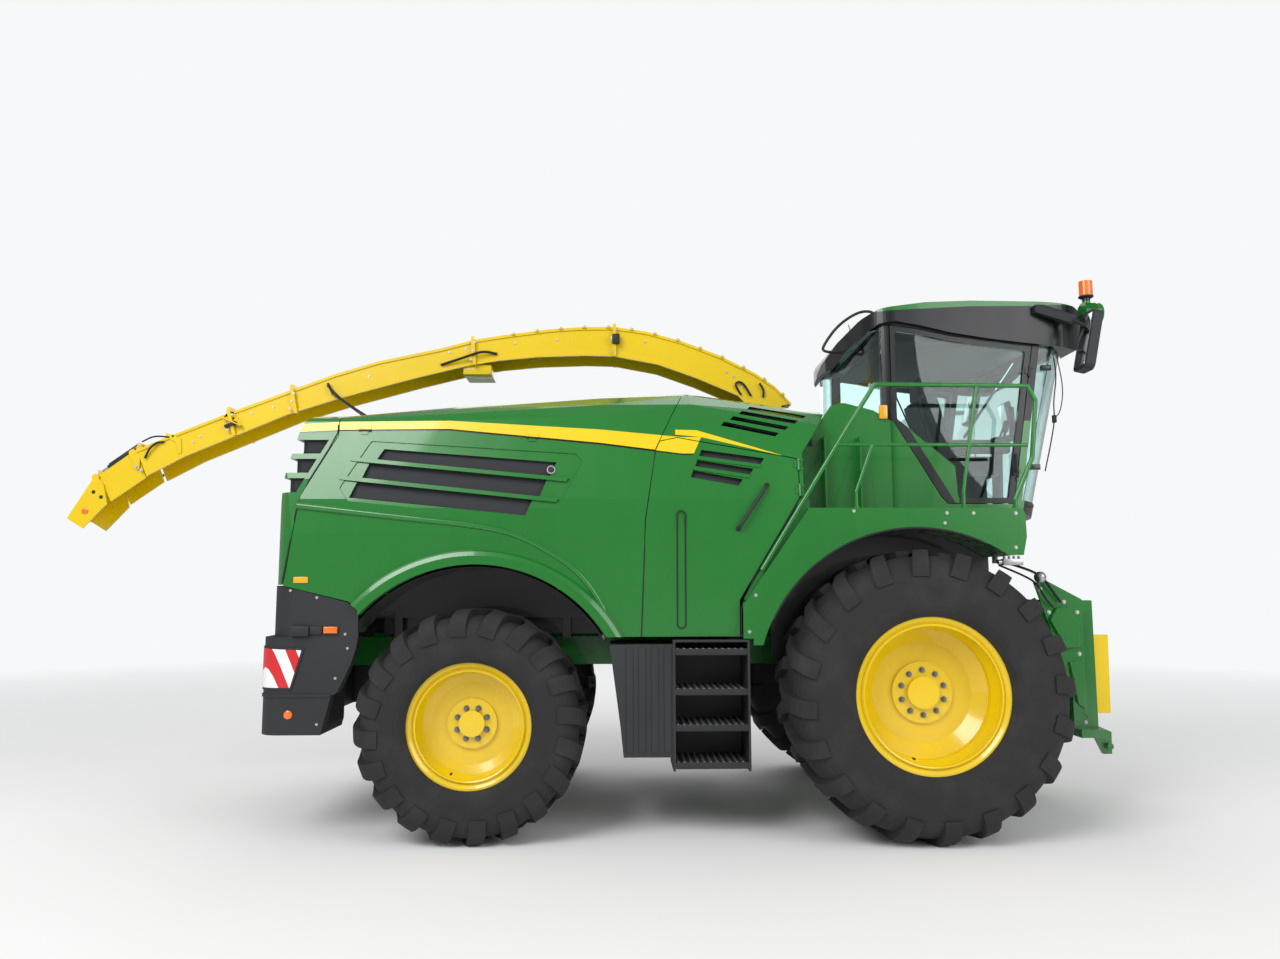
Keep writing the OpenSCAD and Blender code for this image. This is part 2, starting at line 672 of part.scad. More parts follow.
module tail_plan(x, y, r) offset(r = r) offset(delta = -r)
  polygon([[-3000, -y], [x + 82, -y], [x, -600], [x, 600], [x + 82, y], [-3000, y]]);

module tail_gate() color(green) {
  difference() {
    intersection() {
      across(-1400, 1400) polygon(concat(tail_rear, tail_front));
      linear_extrude(3500) tail_plan(-4722, 1330, 220);
      along(-5000, -4000) polygon(concat(
        tail_low, hood_section(-4235, 0), [for (i = [1 : -1 : 0]) [-tail_low[i][0], tail_low[i][1]]]
      ));
    }
    intersection() {
      across(-1400, 1400) polygon(concat(
        [[-4722 + panel_t, 1700]], [for (p = tail_rear) p + [panel_t, p[1] > 3000 ? -panel_t : 0]],
        [[-3800, 3094 - panel_t], [-3800, 1700]]
      ));
      linear_extrude(3500) tail_plan(-4722 + panel_t, 1330, 200);
      along(-5000, -3500) offset(delta = -panel_t) polygon(concat(
        tail_low, hood_section(-4235, 0), [for (i = [1 : -1 : 0]) [-tail_low[i][0], tail_low[i][1]]]
      ));
    }
    // Corner louvres and the rear screen's slots
    both_sides() for (z = [2450, 2595, 2740]) across(1030, 1400) polygon([
      [-4900, z], [-4900, z + 105], [tail_seam_x(z + 105) - 45, z + 105], [tail_seam_x(z) - 45, z]
    ]);
    for (z = [1960 : 90 : 2800]) block([-4900, -880, z], [-4500, 880, z + 52]);
  }
  gate_hinges() hinge_moving(4);
}

module tail_skirt() color(black) difference() {
  intersection() {
    across(-1400, 1400) polygon([
      [-4740, skirt_z + 5 + gap], [-4722, 1776], [-4579, 1776], [-4112, 1655], [-4034, 1592],
      [-4027, skirt_z + 5 + gap]
    ]);
    linear_extrude(2000) tail_plan(-4740, body_y + 8, 220);
  }
  linear_extrude(2500) tail_plan(panel_t - 4740, body_y + 8 - panel_t, 200);
}

module bumper() color(black) difference() {
  intersection() {
    across(-1400, 1400) polygon([
      [-4795, skirt_z + 5], [-4027, skirt_z + 5], [-4040, 1330], [-4062, 1250], [-4112, 1130], [-4165, 1020],
      [-4205, 1000], [-4275, bumper_z],
      [-4730, bumper_z], [-4752, 1000], [-4785, 1010]
    ]);
    linear_extrude(2000) tail_plan(-4795, 1300, 160);
  }
  block([-rail_back - gap, -760, 600], [-3000, 760, 1500]);
  both_sides() block([-4260, 700, 600], [-3000, 1200, 1500]);
  block([-4900, -220, 600], [-4500, 220, 1070]);
}

module hitch() color(black) difference() {
  union() {
    block([-rail_back, -150, 890], [-4570, 150, rail_z + 30 - gap]);
    block([-4780, -60, 1030], [-rail_back, 60, 1050]);
    block([-4780, -60, 900], [-rail_back, 60, 920]);
  }
  translate([-4730, 0, 800]) cylinder(h = 400, r = 16);
}

// Steps and boxes between the wheels

module step_boxes() color(black) both_sides() {
  // Ribbed box
  across(760, step_y - 8) polygon([[-2230, 1352], [-1770, 1352], [-1770, 566], [-2130, 566], [-2150, 760]]);
  for (x = [-2110 : 90 : -1840]) block([x, step_y - 9, 600], [x + 45, step_y, 1330]);
  // Steps between side plates
  for (x = [-1778, -1245]) block([x, 900, 470], [x + 16, step_y, 1384]);
  block([-1778, 900, 470], [-1229, 916, 1384]);
  for (z = step_z) block([-1778, 900, z], [-1229, step_y - 4, z + 30]);
  block([-1778, 900, 1368], [-1229, step_y, 1384]);
  // Hangers to the frame
  for (x = [-2050, -1500]) block([x, rail_y + rail_w / 2, rail_z + 60], [x + 80, 930, rail_z + 140]);
}

// Front fenders with the walkways

fender_outline = [
  [-1200, 1392], [-1272, 1392], [-1272, 1640], [-1250, 1660], [-780, deck_z], [778, deck_z], [800, 2290],
  [805, 2120], [775, 1985], [600, 1985], [-900, 1345], [-1200, 1345]
];
module fenders() color(green) both_sides() {
  difference() {
    across(fender_y - deck_t, fender_y) polygon(fender_outline);
    cyl_y(0, front_hub_z, 0, 2000, front_arch_r);
  }
  intersection() {
    across(870, fender_y) difference() {
      translate([0, front_hub_z]) circle(front_arch_r + deck_t, $fn = 128);
      translate([0, front_hub_z]) circle(front_arch_r, $fn = 128);
    }
    across(870, fender_y) polygon(fender_outline);
  }
  across(1215, fender_y) polygon([
    [-1272, 1640], [-1250, 1660], [-780, deck_z], [-760, deck_z], [-760, floor_z], [-769, floor_z],
    [-1238, 1646], [-1256, 1632]
  ]);
  block([-790, 975, floor_z], [778, fender_y, deck_z]);
  block([762, 975, 1990], [778, fender_y, deck_z]);
}

// A handrail's foot plate at (x, y) on the deck.
module rail_foot(x, y) translate([x, y, deck_z + gap]) cylinder(h = 12, r = 21);

module handrails() color(green) {
  y = fender_y - 22;
  foot = deck_z + 8;
  // Right side: a rail past the window, joined down to the deck
  on_side(-1) {
    tube([[-1130, y, 1880], [-560, y, 2800], [-270, y, 3250], [870, y, 3240], [925, y, 3130], [880, y, 2700],
      [740, y, deck_z + 60], [740, y, foot]], rail_tube);
    tube([[-560, y, 2800], [850, y, 2795]], 0.8 * rail_tube);
    tube([[-430, y, foot], [-430, y, 2450], [-300, y, 2800]], 0.8 * rail_tube);
    tube([[360, y, foot], [360, y, 2450], [490, y, 3240]], 0.8 * rail_tube);
    for (x = [740, 360, -430]) rail_foot(x, y);
  }
  // Left side: the way to the door stays open
  tube([[-1130, y, 1880], [-560, y, 2800], [-430, y, 3100], [-330, y, 3000], [-330, y, foot]], rail_tube);
  rail_foot(-330, y);
}

// Cab

cab_side = [
  [-390, floor_z], [-390, 3600], [-340, 3700], [-250, 3790], [-130, roof_z], [1700, roof_z], [1700, floor_z]
];
// Plan of the cab and its roof with a bowed rear, wider by t
module cab_plan(t, front) hull() {
  for (y = [-750, 750]) translate([0, y]) circle(cab_y - 750 + t);
  polygon([[-290 - t, -480], [-358 - t, -250], [-384 - t, 0], [-358 - t, 250], [-290 - t, 480]]);
  if (front) translate([1690, -cab_y]) square([10, 2 * cab_y]);
}
// Solid of the cab, inset by t
module cab_block(t) intersection() {
  across(t - cab_y, cab_y - t) offset(delta = -t) polygon(cab_side);
  linear_extrude(4200) offset(delta = -t) cab_plan(0, true);
  translate([1255 - screen_r, 0, floor_z]) rotate([0, screen_lean, 0]) translate([0, 0, -800])
    cylinder(h = 3400, r = screen_r - t, $fn = 128);
}

// Outline of the door: rear post, sloping sill, floor and front post
door_outline = [
  [-35, 3805], [-35, 3060], [330, 2450], [380, 2400], [post_x(2400), 2400], [post_x(3640), 3640], [960, 3650],
  [430, 3720], [180, 3775]
];
module door_window() offset(r = 20) offset(delta = -20) polygon([
  [0, 3760], [0, 3060], [440, 2690], [455, 2440], [post_x(2440) - 45, 2440], [post_x(3600) - 45, 3600],
  [950, 3612], [430, 3680], [180, 3735]
]);
module screen_opening() polygon([
  [post_x(2420) + 62, 2420], [post_x(3740) + 62, 3740], [2200, 3740], [2200, 2420]
]);
module corner_opening() polygon([
  [-600, 3200], [-420, 3197], [-250, 3160], [-115, 3088], [-100, 3085], [-100, 3780], [-235, 3780],
  [-345, 3690], [-430, 3580], [-600, 3580]
]);

module cab_shell() color(green) {
  difference() {
    cab_block(0);
    intersection() {
      cab_block(cab_t);
      block([-1000, -2000, floor_z + cab_t], [2000, 2000, 4000]);
    }
    across(-cab_y - 1, cab_y + 1) offset(delta = seam) polygon(door_outline);
    across(-2000, 2000) screen_opening();
    across(-2000, 2000) corner_opening();
  }
  both_sides() door_hinges() hinge_fixed();
}

module cab_glass() color(clear) intersection() {
  difference() {
    cab_block(12);
    cab_block(12 + glass_t);
  }
  union() {
    across(-2000, 2000) offset(delta = -gap) screen_opening();
    across(-2000, 2000) offset(delta = -gap) corner_opening();
  }
}

module door(s) color(black) on_side(s) {
  difference() {
    across(cab_y - door_in, cab_y) polygon(door_outline);
    across(cab_y - door_in - 1, cab_y + 1) door_window();
  }
  door_hinges() hinge_moving();
}

module door_glass(s) color(clear) on_side(s)
  across(cab_y - 24, cab_y - 24 + glass_t) offset(delta = -gap) door_window();

roof_side = [
  [-428, 3590], [-410, 3680], [-340, 3790], [-240, 3880], [-110, 3936], [240, 3982], [600, 3996], [1122, 3990],
  [1450, 3975], [1590, 3930], [1625, 3870], [1600, 3760], [1500, 3640], [1440, 3615], [974, 3662], [700, 3696],
  [419, 3742], [200, 3795], [0, 3830], [-120, 3815], [-220, 3750], [-310, 3670], [-360, 3590]
];
module cab_roof() color(green) difference() {
  intersection() {
    across(-roof_y, roof_y) polygon(roof_side);
    linear_extrude(4500) hull() {
      cab_plan(roof_y - cab_y, false);
      for (y = [420 - roof_y, roof_y - 420]) translate([1205, y]) circle(420);
    }
  }
  cab_block(-gap);
  for (y = roof_lamp_y) cyl_x(y, roof_lamp_z, 1570, 1700, roof_lamp_r + gap);
}

module seat() color(black) translate([380, 0, 0]) {
  block([150, -260, 2700], [690, 260, 2840]);
  hull() for (p = [[190, 2830], [60, 3330]]) translate([p[0], -250, p[1]]) cube([110, 500, 60]);
  block([60, -150, 3400], [150, 150, 3580]);
  for (y = [-90, 90]) translate([110, y, 3380]) cylinder(h = 40, r = 9);
  block([260, -170, floor_z + cab_t], [600, 170, 2710]);
  both_sides() block([200, 290, 2920], [640, 370, 2980]);
  both_sides() block([240, 250, 2820], [320, 370, 2930]);
}

module steering_column() color(black) {
  translate([1130, 0, floor_z + cab_t]) cylinder(h = 40, r = 90);
  bar([1135, 0, floor_z + cab_t + 20], [1150, 0, 3020], 45);
  translate([1148, 0, 3030]) rotate([0, -20, 0]) {
    rotate_extrude() translate([190, 0]) circle(16);
    cylinder(h = 30, r = 40, center = true);
    for (a = [0, 120, 240]) rotate([0, 0, a]) rotate([0, 90, 0]) cylinder(h = 190, r = 11);
  }
}

module mirrors() color(black) both_sides() {
  // Arm box on the roof's side, with the mirror's bar and the lamp pod's bar
  hull() {
    block([1090, roof_y + gap, 3890], [1150, roof_y + 50, 3950]);
    block([1330, roof_y + 60, 3790], [1380, roof_y + 110, 3850]);
  }
  tube([[1355, roof_y + 85, 3820], [1400, pod[1], 3870], [pod[0] - 60 - gap, pod[1], 3870]], 16);
  bar([1355, roof_y + 85, 3820], [1400, roof_y + 200, 3740], 14);
  translate([1405, roof_y + 225, 3610]) rotate([0, 12, 0]) hull() for (z = [-190, 190]) for (y = [-60, 60])
    translate([0, y, z]) rotate([0, 90, 0]) cylinder(h = 70, r = 45, center = true, $fn = 24);
}

pod = [1530, roof_y + 15, 3885];
module lamp_pods() color(green) both_sides() {
  cyl_x(pod[1], pod[2], pod[0] - 60, pod[0] + 60, 82);
  translate([pod[0] - 20, pod[1], pod[2]]) cylinder(h = 140, r = 30);
}

module lamps() color("#e8e8e0") {
  both_sides() {
    cyl_x(pod[1], pod[2], pod[0] + 60 + gap, pod[0] + 76, 70);
    cyl_x(1180, 2120, 778 + gap, 830, 62);
  }
  for (y = roof_lamp_y) cyl_x(y, roof_lamp_z, 1570 + gap, 1618, roof_lamp_r);
}

module beacons() color("#f07818") both_sides()
  translate([pod[0] - 20, pod[1], pod[2] + 140 + gap]) cylinder(h = 120, r = 52);

// Crop path behind the cutterhead

module crop_duct() color(green) {
  cyl_y(430, 1050, -330, 330, 270);
  difference() {
    across(-300, 300) polygon([
      [520, 1250], [200, 1150], [-400, 1330], [-700, 1600], [-1000, 2400], [-1040, 2880], [-600, 2880],
      [-590, 2300], [-540, 2150], [-330, 1850], [60, 1560]
    ]);
    across(-270, 270) polygon([
      [-60, 1300], [-390, 1370], [-665, 1620], [-955, 2410], [-1000, 2900], [-640, 2900],
      [-630, 2290], [-575, 2130], [-360, 1820], [-60, 1600]
    ]);
  }
  for (x = [[-420, 1220], [250, 1230]])
    block([x[0], rail_w / 2 - rail_y, x[1]], [x[0] + 80, rail_y - rail_w / 2, x[1] + 120]);
}

module slew_ring() color(steel) difference() {
  translate([-slew_x, 0, 2880]) cylinder(h = ring_z - 2880, r = slew_ring_r);
  translate([-slew_x, 0, 2870]) cylinder(h = 200, r = slew_bore_r);
}

module spout_cradle() color(black) both_sides() {
  bar([-4190, spout_y + 45, 3114], [-4590, spout_y + 28, 3400], 12);
  bar([-4590, spout_y + 28, 3395], [-4640, spout_y + 28, 3490], 12);
  translate([-4590, spout_y + 28, 3400]) sphere(14);
  translate([-4190, spout_y + 45, crown_z(-4164) + gap]) cylinder(h = 14, r = 26);
}

// Spout

module spout_base() color(yellow) {
  inside = spout_y - spout_t - 6;
  difference() {
    union() {
      translate([-slew_x, 0, ring_z + gap]) cylinder(h = 40, r = slew_ring_r - 30);
      translate([-slew_x, 0, ring_z - 30]) cylinder(h = 60, r = slew_bore_r - fit);
      across(-inside, inside) polygon([
        [-1010, ring_z + 30], [-620, ring_z + 30], [-620, 3160], [-664, 3165], [-664, 3215], [-680, 3262],
        [-720, 3270], [-1010, 3185]
      ]);
    }
    across(spout_t - inside, inside - spout_t) polygon([
      [-996, ring_z - 50], [-634, ring_z - 50], [-634, 3400], [-1100, 3400]
    ]);
    cyl_y(lift_x, lift_z, -500, 500, lift_hinge_r + fit);
  }
}

module spout_arm() color(yellow) {
  both_sides() difference() {
    across(spout_y - spout_t, spout_y) {
      polygon(concat(spout_top, spout_low));
      hull() {
        translate([lift_x, lift_z]) circle(55);
        translate([lift_x - 110, lift_z + 130]) square([190, 40]);
      }
      hull() {
        translate(flap_axis) circle(30);
        translate([-6220, 2760]) square([20, 130]);
      }
    }
  }
  across(-spout_y, spout_y) polygon(concat(
    spout_top, [for (i = [len(spout_top) - 1 : -1 : 0]) spout_top[i] - [0, spout_t]]
  ));
  both_sides() {
    // Rolled edges along the side plates
    across(spout_y - 2, spout_y + 10) difference() {
      polygon(concat(spout_low, [for (i = [len(spout_low) - 1 : -1 : 0]) spout_low[i] + [0, 26]]));
    }
    across(spout_y - 2, spout_y + 10) polygon(concat(
      spout_top, [for (i = [len(spout_top) - 1 : -1 : 0]) spout_top[i] - [0, 24]]
    ));
    // Plates of the bolted joints
    for (q = spout_joints) across(spout_y - 2, spout_y + 34) polygon([
      [q[0] - 14, q[2]], [q[0] - 14 + q[3], q[1]], [q[0] + 14 + q[3], q[1]], [q[0] + 14, q[2]]
    ]);
  }
  for (q = spout_joints) across(-spout_y - 20, spout_y + 20) polygon([
    [q[0] - 14 + q[3], q[1] - 30], [q[0] - 14 + q[3], q[1] + 26], [q[0] + 14 + q[3], q[1] + 26],
    [q[0] + 14 + q[3], q[1] - 30]
  ]);
  both_sides() cyl_y(lift_x, lift_z, spout_y - 2 * spout_t - 10, spout_y, lift_hinge_r);
  cyl_y(flap_axis[0], flap_axis[1], -spout_y, spout_y, flap_pin_r);
}

module barrel(axis) cyl_y(axis[0], axis[1], -flap_y, flap_y, 26);

module spout_flap() color(yellow) difference() {
  union() {
    both_sides() across(flap_y - spout_t, flap_y) polygon([
      flap_axis, tip_axis, tip_axis + [60, -60], [-6430, 2490], [-6150, 2690], [-6190, 2800]
    ]);
    across(-flap_y, flap_y) polygon([flap_axis + [-8, 10], tip_axis + [8, 10], tip_axis + [12, -4], flap_axis + [-4, -4]]);
    barrel(flap_axis);
    barrel(tip_axis);
  }
  for (a = [flap_axis, tip_axis]) cyl_y(a[0], a[1], -spout_y, spout_y, flap_pin_r + fit);
}

module spout_tip() color(yellow) {
  both_sides() across(spout_y - spout_t, spout_y) {
    polygon([tip_axis + [0, 20], [-6775, 2345], [-6640, 2262], [-6450, 2470], tip_axis + [70, -60]]);
    translate(tip_axis) circle(30);
  }
  across(-spout_y, spout_y) polygon([tip_axis + [-20, -30], [-6775, 2345], [-6763, 2338], tip_axis + [-8, -36]]);
  cyl_y(tip_axis[0], tip_axis[1], -spout_y, spout_y, flap_pin_r);
}

// Crop intake ahead of the front axle

module feed_housing() color(green) {
  both_sides() {
    across(feed_y - 20, feed_y) polygon([
      [600, 1120], [720, 1300], [1080, 1600], [1560, 1640], [1560, 700], [1150, 620], [720, 830], [600, 1000]
    ]);
    cyl_y(feed_pivot_x, feed_pivot_z, feed_y - 20, feed_y + 46, feed_pin_r);
    across(790, 806) polygon([[1070, 1790], [1180, 1800], [1440, 1660], [1440, 760], [1340, 900], [1180, 1450]]);
    along(1410, 1600) polygon([[560, 640], [640, 640], [640, 1650], [560, 1650]]);
    across(590, 625) polygon([[1590, 1378], [1722, 1378], [1711, 768], [1590, 768]]);
    // Lugs of the lift cylinders
    for (y = [lift_y - 50, lift_y + 30]) across(y, y + 20) hull() {
      translate(lift_lug) circle(45);
      translate([lift_lug[0] - 60, 640]) square([200, 20]);
    }
    cyl_y(lift_lug[0], lift_lug[1], lift_y - 50, lift_y + 50, lug_pin_r);
    // Hook with the header's locking pin
    across(560, 600) polygon([[1580, 680], [1720, 620], [1716, 450], [1650, 450], [1580, 600]]);
    cyl_y(1683, 515, 540, 650, lock_pin_r);
  }
  block([1400, -780, 600], [1600, 780, 660]);
  block([1400, -806, 1560], [1480, 806, 1650]);
  across(-feed_y, feed_y) polygon([[720, 850], [1150, 640], [1480, 720], [1480, 700], [1150, 620], [720, 830]]);
  across(-feed_y, feed_y) polygon([[720, 1300], [1080, 1600], [1480, 1640], [1480, 1620], [1085, 1580], [732, 1286]]);
}

module feed_rolls() color(steel) {
  for (p = [[1150, 1290, 130], [1350, 1330, 150], [1150, 900, 110], [1360, 870, 110]])
    cyl_y(p[0], p[1], 20 + gap - feed_y, feed_y - 20 - gap, p[2]);
}

module lift_barrels() color(black) both_sides() difference() {
  union() {
    translate([lift_pin[0], lift_y, lift_pin[1]]) rotate([0, lift_angle + 90, 0]) {
      cylinder(h = 80, r = 28);
      translate([0, 0, 76]) cylinder(h = 444, r = 55);
    }
    cyl_y(lift_pin[0], lift_pin[1], lift_y - 30, lift_y + 30, 50);
  }
  cyl_y(lift_pin[0], lift_pin[1], lift_y - 60, lift_y + 60, lift_pin_r + fit);
  translate([lift_pin[0], lift_y, lift_pin[1]]) rotate([0, lift_angle + 90, 0]) translate([0, 0, 90])
    cylinder(h = 500, r = lift_rod_r + fit);
}

module lift_rods() color(steel) both_sides() difference() {
  union() {
    translate([lift_pin[0], lift_y, lift_pin[1]]) rotate([0, lift_angle + 90, 0]) translate([0, 0, 200])
      cylinder(h = lift_len - 200, r = lift_rod_r);
    cyl_y(lift_lug[0], lift_lug[1], lift_y - 20, lift_y + 20, lug_pin_r + lug_drift + 14);
  }
  cyl_y(lift_lug[0], lift_lug[1], lift_y - 60, lift_y + 60, lug_pin_r + lug_drift);
}

place() main_frame();
place() body_frame();
place() front_axle();
place() rear_axle();
place() engine();
place() cooling_pack();
place() hood();
place() mid_cowl();
place() tail_skirt();
place() bumper();
place() step_boxes();
place() fenders();
place() handrails();
place() cab_shell();
place() cab_roof();
place() cab_glass();
place() seat();
place() steering_column();
place() mirrors();
place() lamp_pods();
place() lamps();
place() beacons();
place() crop_duct();
place() slew_ring();
place() spout_cradle();
place() hitch();
place() front_rim(1);  // front_rim_l
place() front_rim(-1);  // front_rim_r
place() front_tyre(1);  // front_tyre_l
place() front_tyre(-1);  // front_tyre_r
place() rear_rim(1);  // rear_rim_l
place() rear_rim(-1);  // rear_rim_r
place() rear_tyre(1);  // rear_tyre_l
place() rear_tyre(-1);  // rear_tyre_r
place() knuckle(1);  // knuckle_l
place() knuckle(-1);  // knuckle_r
place() tie_rod();
place() door(1);  // door_l
place() door(-1);  // door_r
place() door_glass(1);  // door_glass_l
place() door_glass(-1);  // door_glass_r
place() side_panel(1);  // side_panel_l
place() side_panel(-1);  // side_panel_r
place() mid_panel(1);  // mid_panel_l
place() mid_panel(-1);  // mid_panel_r
place() tail_gate();
place() feed_housing();
place() feed_rolls();
place() lift_barrels();
place() lift_rods();
place() spout_base();
place() spout_arm();
place() spout_flap();
place() spout_tip();
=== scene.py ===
import math
from functools import partialmethod

import bmesh
import bpy
from mathutils import Matrix, Vector


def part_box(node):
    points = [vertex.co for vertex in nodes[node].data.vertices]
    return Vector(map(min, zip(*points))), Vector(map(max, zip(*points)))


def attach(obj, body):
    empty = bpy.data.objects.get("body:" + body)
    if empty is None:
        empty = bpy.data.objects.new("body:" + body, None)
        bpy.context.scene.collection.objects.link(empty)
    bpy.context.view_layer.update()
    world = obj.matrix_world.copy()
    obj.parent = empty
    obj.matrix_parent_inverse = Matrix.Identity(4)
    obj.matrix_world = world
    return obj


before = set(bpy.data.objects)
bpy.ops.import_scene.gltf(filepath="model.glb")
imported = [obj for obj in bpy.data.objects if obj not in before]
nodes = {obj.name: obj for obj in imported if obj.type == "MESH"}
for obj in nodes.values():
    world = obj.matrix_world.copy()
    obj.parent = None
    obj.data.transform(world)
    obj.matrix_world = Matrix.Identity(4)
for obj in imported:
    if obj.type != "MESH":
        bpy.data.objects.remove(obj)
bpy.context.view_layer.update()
axleX = sum(corner.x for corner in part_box("front_rim_l")) / 2  # the front axle, from which lengths are counted
print("frame loaded:", len(nodes), "nodes")


# materials

class Wire:  # a socket that takes part in Python expressions
    def __init__(self, surface, socket):
        self.surface, self.socket = surface, socket

    def maths(self, operation, *others):
        return self.surface.node("ShaderNodeMath", {"operation": operation}, dict(enumerate((self, *others))))

    def __rsub__(self, other):
        return self.surface.node("ShaderNodeMath", {"operation": "SUBTRACT"}, {0: other, 1: self})

    __add__ = __radd__ = partialmethod(maths, "ADD")
    __mul__ = __rmul__ = partialmethod(maths, "MULTIPLY")
    __sub__, __truediv__ = partialmethod(maths, "SUBTRACT"), partialmethod(maths, "DIVIDE")
    __gt__, __lt__ = partialmethod(maths, "GREATER_THAN"), partialmethod(maths, "LESS_THAN")
    __abs__ = partialmethod(maths, "ABSOLUTE")


class Surface:  # one material and the few nodes that every finish needs
    def __init__(self, name):
        self.material = bpy.data.materials.new(name)
        self.material.use_nodes = True
        self.tree = self.material.node_tree
        self.tree.nodes.clear()
        output = self.tree.nodes.new("ShaderNodeOutputMaterial")
        self.shader = self.tree.nodes.new("ShaderNodeBsdfPrincipled")
        self.tree.links.new(self.shader.outputs[0], output.inputs[0])
        self.place = self.node("ShaderNodeTexCoord", out="Object")

    def plug(self, socket, value):
        if isinstance(value, Wire):
            self.tree.links.new(value.socket, socket)
        else:
            socket.default_value = value

    def node(self, kind, settings={}, inputs={}, out=0):
        made = self.tree.nodes.new(kind)
        for key, value in settings.items():
            if key == "stops":
                while len(made.color_ramp.elements) < len(value):
                    made.color_ramp.elements.new(1)
                for element, (spot, shade) in zip(made.color_ramp.elements, value):
                    element.position, element.color = spot, shade
            else:
                setattr(made, key, value)
        for key, value in inputs.items():
            self.plug(made.inputs[key], value)
        return Wire(self, made.outputs[out])

    def axis(self, letter):
        return self.node("ShaderNodeSeparateXYZ", {}, {0: self.place}, letter)

    def noise(self, scale, detail=2, stretch=None):
        place = self.place
        if stretch:
            place = self.node("ShaderNodeMapping", {}, {"Vector": place, "Scale": stretch})
        return self.node("ShaderNodeTexNoise", {}, {"Vector": place, "Scale": scale, "Detail": detail})

    def ramp(self, value, low, high):
        return self.node("ShaderNodeMapRange", {}, {0: value, 1: low, 2: high})

    def mix(self, share, a, b):
        colours = {6: a if isinstance(a, Wire) else (*a, 1), 7: b if isinstance(b, Wire) else (*b, 1)}
        return self.node("ShaderNodeMix", {"data_type": "RGBA"}, {0: share, **colours}, 2)

    def bump(self, height, depth, strength=1.0):
        return self.node("ShaderNodeBump", {}, {"Height": height, "Distance": depth, "Strength": strength})

    def line(self, x, points):  # height over x, straight between the points
        low, high = points[0][0], points[-1][0]
        stops = [((px - low) / (high - low), (pz, pz, pz, 1)) for px, pz in points]
        return self.node("ShaderNodeValToRGB", {"stops": stops}, {0: (x - low) / (high - low)})

    def finish(self, **values):
        for key, value in values.items():
            if key == "colour":
                value = value if isinstance(value, Wire) else (*value, 1)
            socket = {"colour": "Base Color", "rough": "Roughness", "metal": "Metallic", "coat": "Coat Weight",
                      "coatRough": "Coat Roughness", "normal": "Normal", "through": "Transmission Weight",
                      "bend": "IOR", "alpha": "Alpha", "sheen": "Sheen Weight", "spec": "Specular IOR Level"}[key]
            self.plug(self.shader.inputs[socket], value)
        return self


paints = {
    "green": (0.008, 0.168, 0.018), "yellow": (0.80, 0.555, 0.001), "dust": (0.30, 0.25, 0.19),
    "pinstripe": (0.01, 0.01, 0.01),
    "dustLevel": 0.9,  # height above the ground at which the dust fades out, in metres
    "rough": 0.2, "coat": 0.55, "peel": 0.0002,  # peel is the depth of the orange peel, in metres
}
wave = 6.283  # one whole turn, for patterns made of sines


def paintColour(surface, colour, dust=0.5):
    patch = surface.ramp(surface.noise(0.9, 3), 0.35, 0.75)
    shade = surface.mix(patch * 0.35, colour, [c * 0.8 for c in colour])
    low = surface.ramp(surface.axis("Z"), paints["dustLevel"], 0.1)
    return surface.mix(low * surface.ramp(surface.noise(9, 5), 0.35, 0.8) * dust, shade, paints["dust"])


def enamel(surface, colour, rough=paints["rough"], coat=paints["coat"]):
    streak = surface.noise(6, 4, (1, 1, 0.25))
    return surface.finish(colour=colour, rough=rough + streak * 0.14, coat=coat, coatRough=0.06,
                          normal=surface.bump(surface.noise(260, 1), paints["peel"], 0.25))


def paint(name, colour, dust=0.5, rough=paints["rough"]):
    surface = Surface(name)
    return enamel(surface, paintColour(surface, colour, dust), rough)


def either(a, b):
    return a.maths("MAXIMUM", b)


def stripedPaint(name, lines, xEnd=None, slope=0.0, dart=None):
    # green enamel with the yellow band along the side: lines are its lower and upper edges, and a dart may follow
    surface = Surface(name)
    x, y, z = (surface.axis(letter) for letter in "XYZ")
    x = x - axleX
    low, high = (surface.line(x, points) for points in lines)
    outer = abs(y) > 1.02
    band, pin = (z > low) * (z < high) * outer, (z < low) * (z > low - 0.012) * outer
    if xEnd:
        band, pin = (part * (x + z * slope < xEnd) for part in (band, pin))
    if dart:
        low, high = (surface.line(x, points) for points in dart)
        inside = (x > dart[0][0][0]) * (x < dart[0][-1][0])
        band = either(band, (z > low) * (z < high) * (abs(y) > 0.9) * inside)
    base = surface.mix(band, paintColour(surface, paints["green"]), paints["yellow"])
    return enamel(surface, surface.mix(pin, base, paints["pinstripe"]))


def splitPaint(name, choose, other, dust=0.5):
    # green enamel with a part of the node in another, duller colour; choose gives 1 on that part
    surface = Surface(name)
    x, y, z = (surface.axis(letter) for letter in "XYZ")
    share = choose(surface, x - axleX, abs(y), z)
    base = surface.mix(share, paintColour(surface, paints["green"], dust), other)
    return enamel(surface, base, paints["rough"] + share * 0.06, paints["coat"] - share * 0.45)


def plastic(name, colour, rough=0.55, grain=900, depth=0.0003):
    surface = Surface(name)
    fade = surface.ramp(surface.noise(2.5, 4), 0.3, 0.8)
    shade = surface.mix(fade * 0.5, colour, [c * 1.5 + 0.006 for c in colour])
    return surface.finish(colour=shade, rough=rough + surface.noise(14, 3) * 0.12,
                          normal=surface.bump(surface.noise(grain, 2), depth, 0.5))


def metal(name, colour, rough=0.3, brushed=(1, 1, 1)):
    surface = Surface(name)
    grain = surface.noise(120, 3, brushed)
    return surface.finish(colour=surface.mix(grain * 0.35, colour, [c * 0.65 for c in colour]), metal=1.0,
                          rough=rough + surface.noise(18, 4) * 0.15, normal=surface.bump(grain, 0.0002, 0.3))


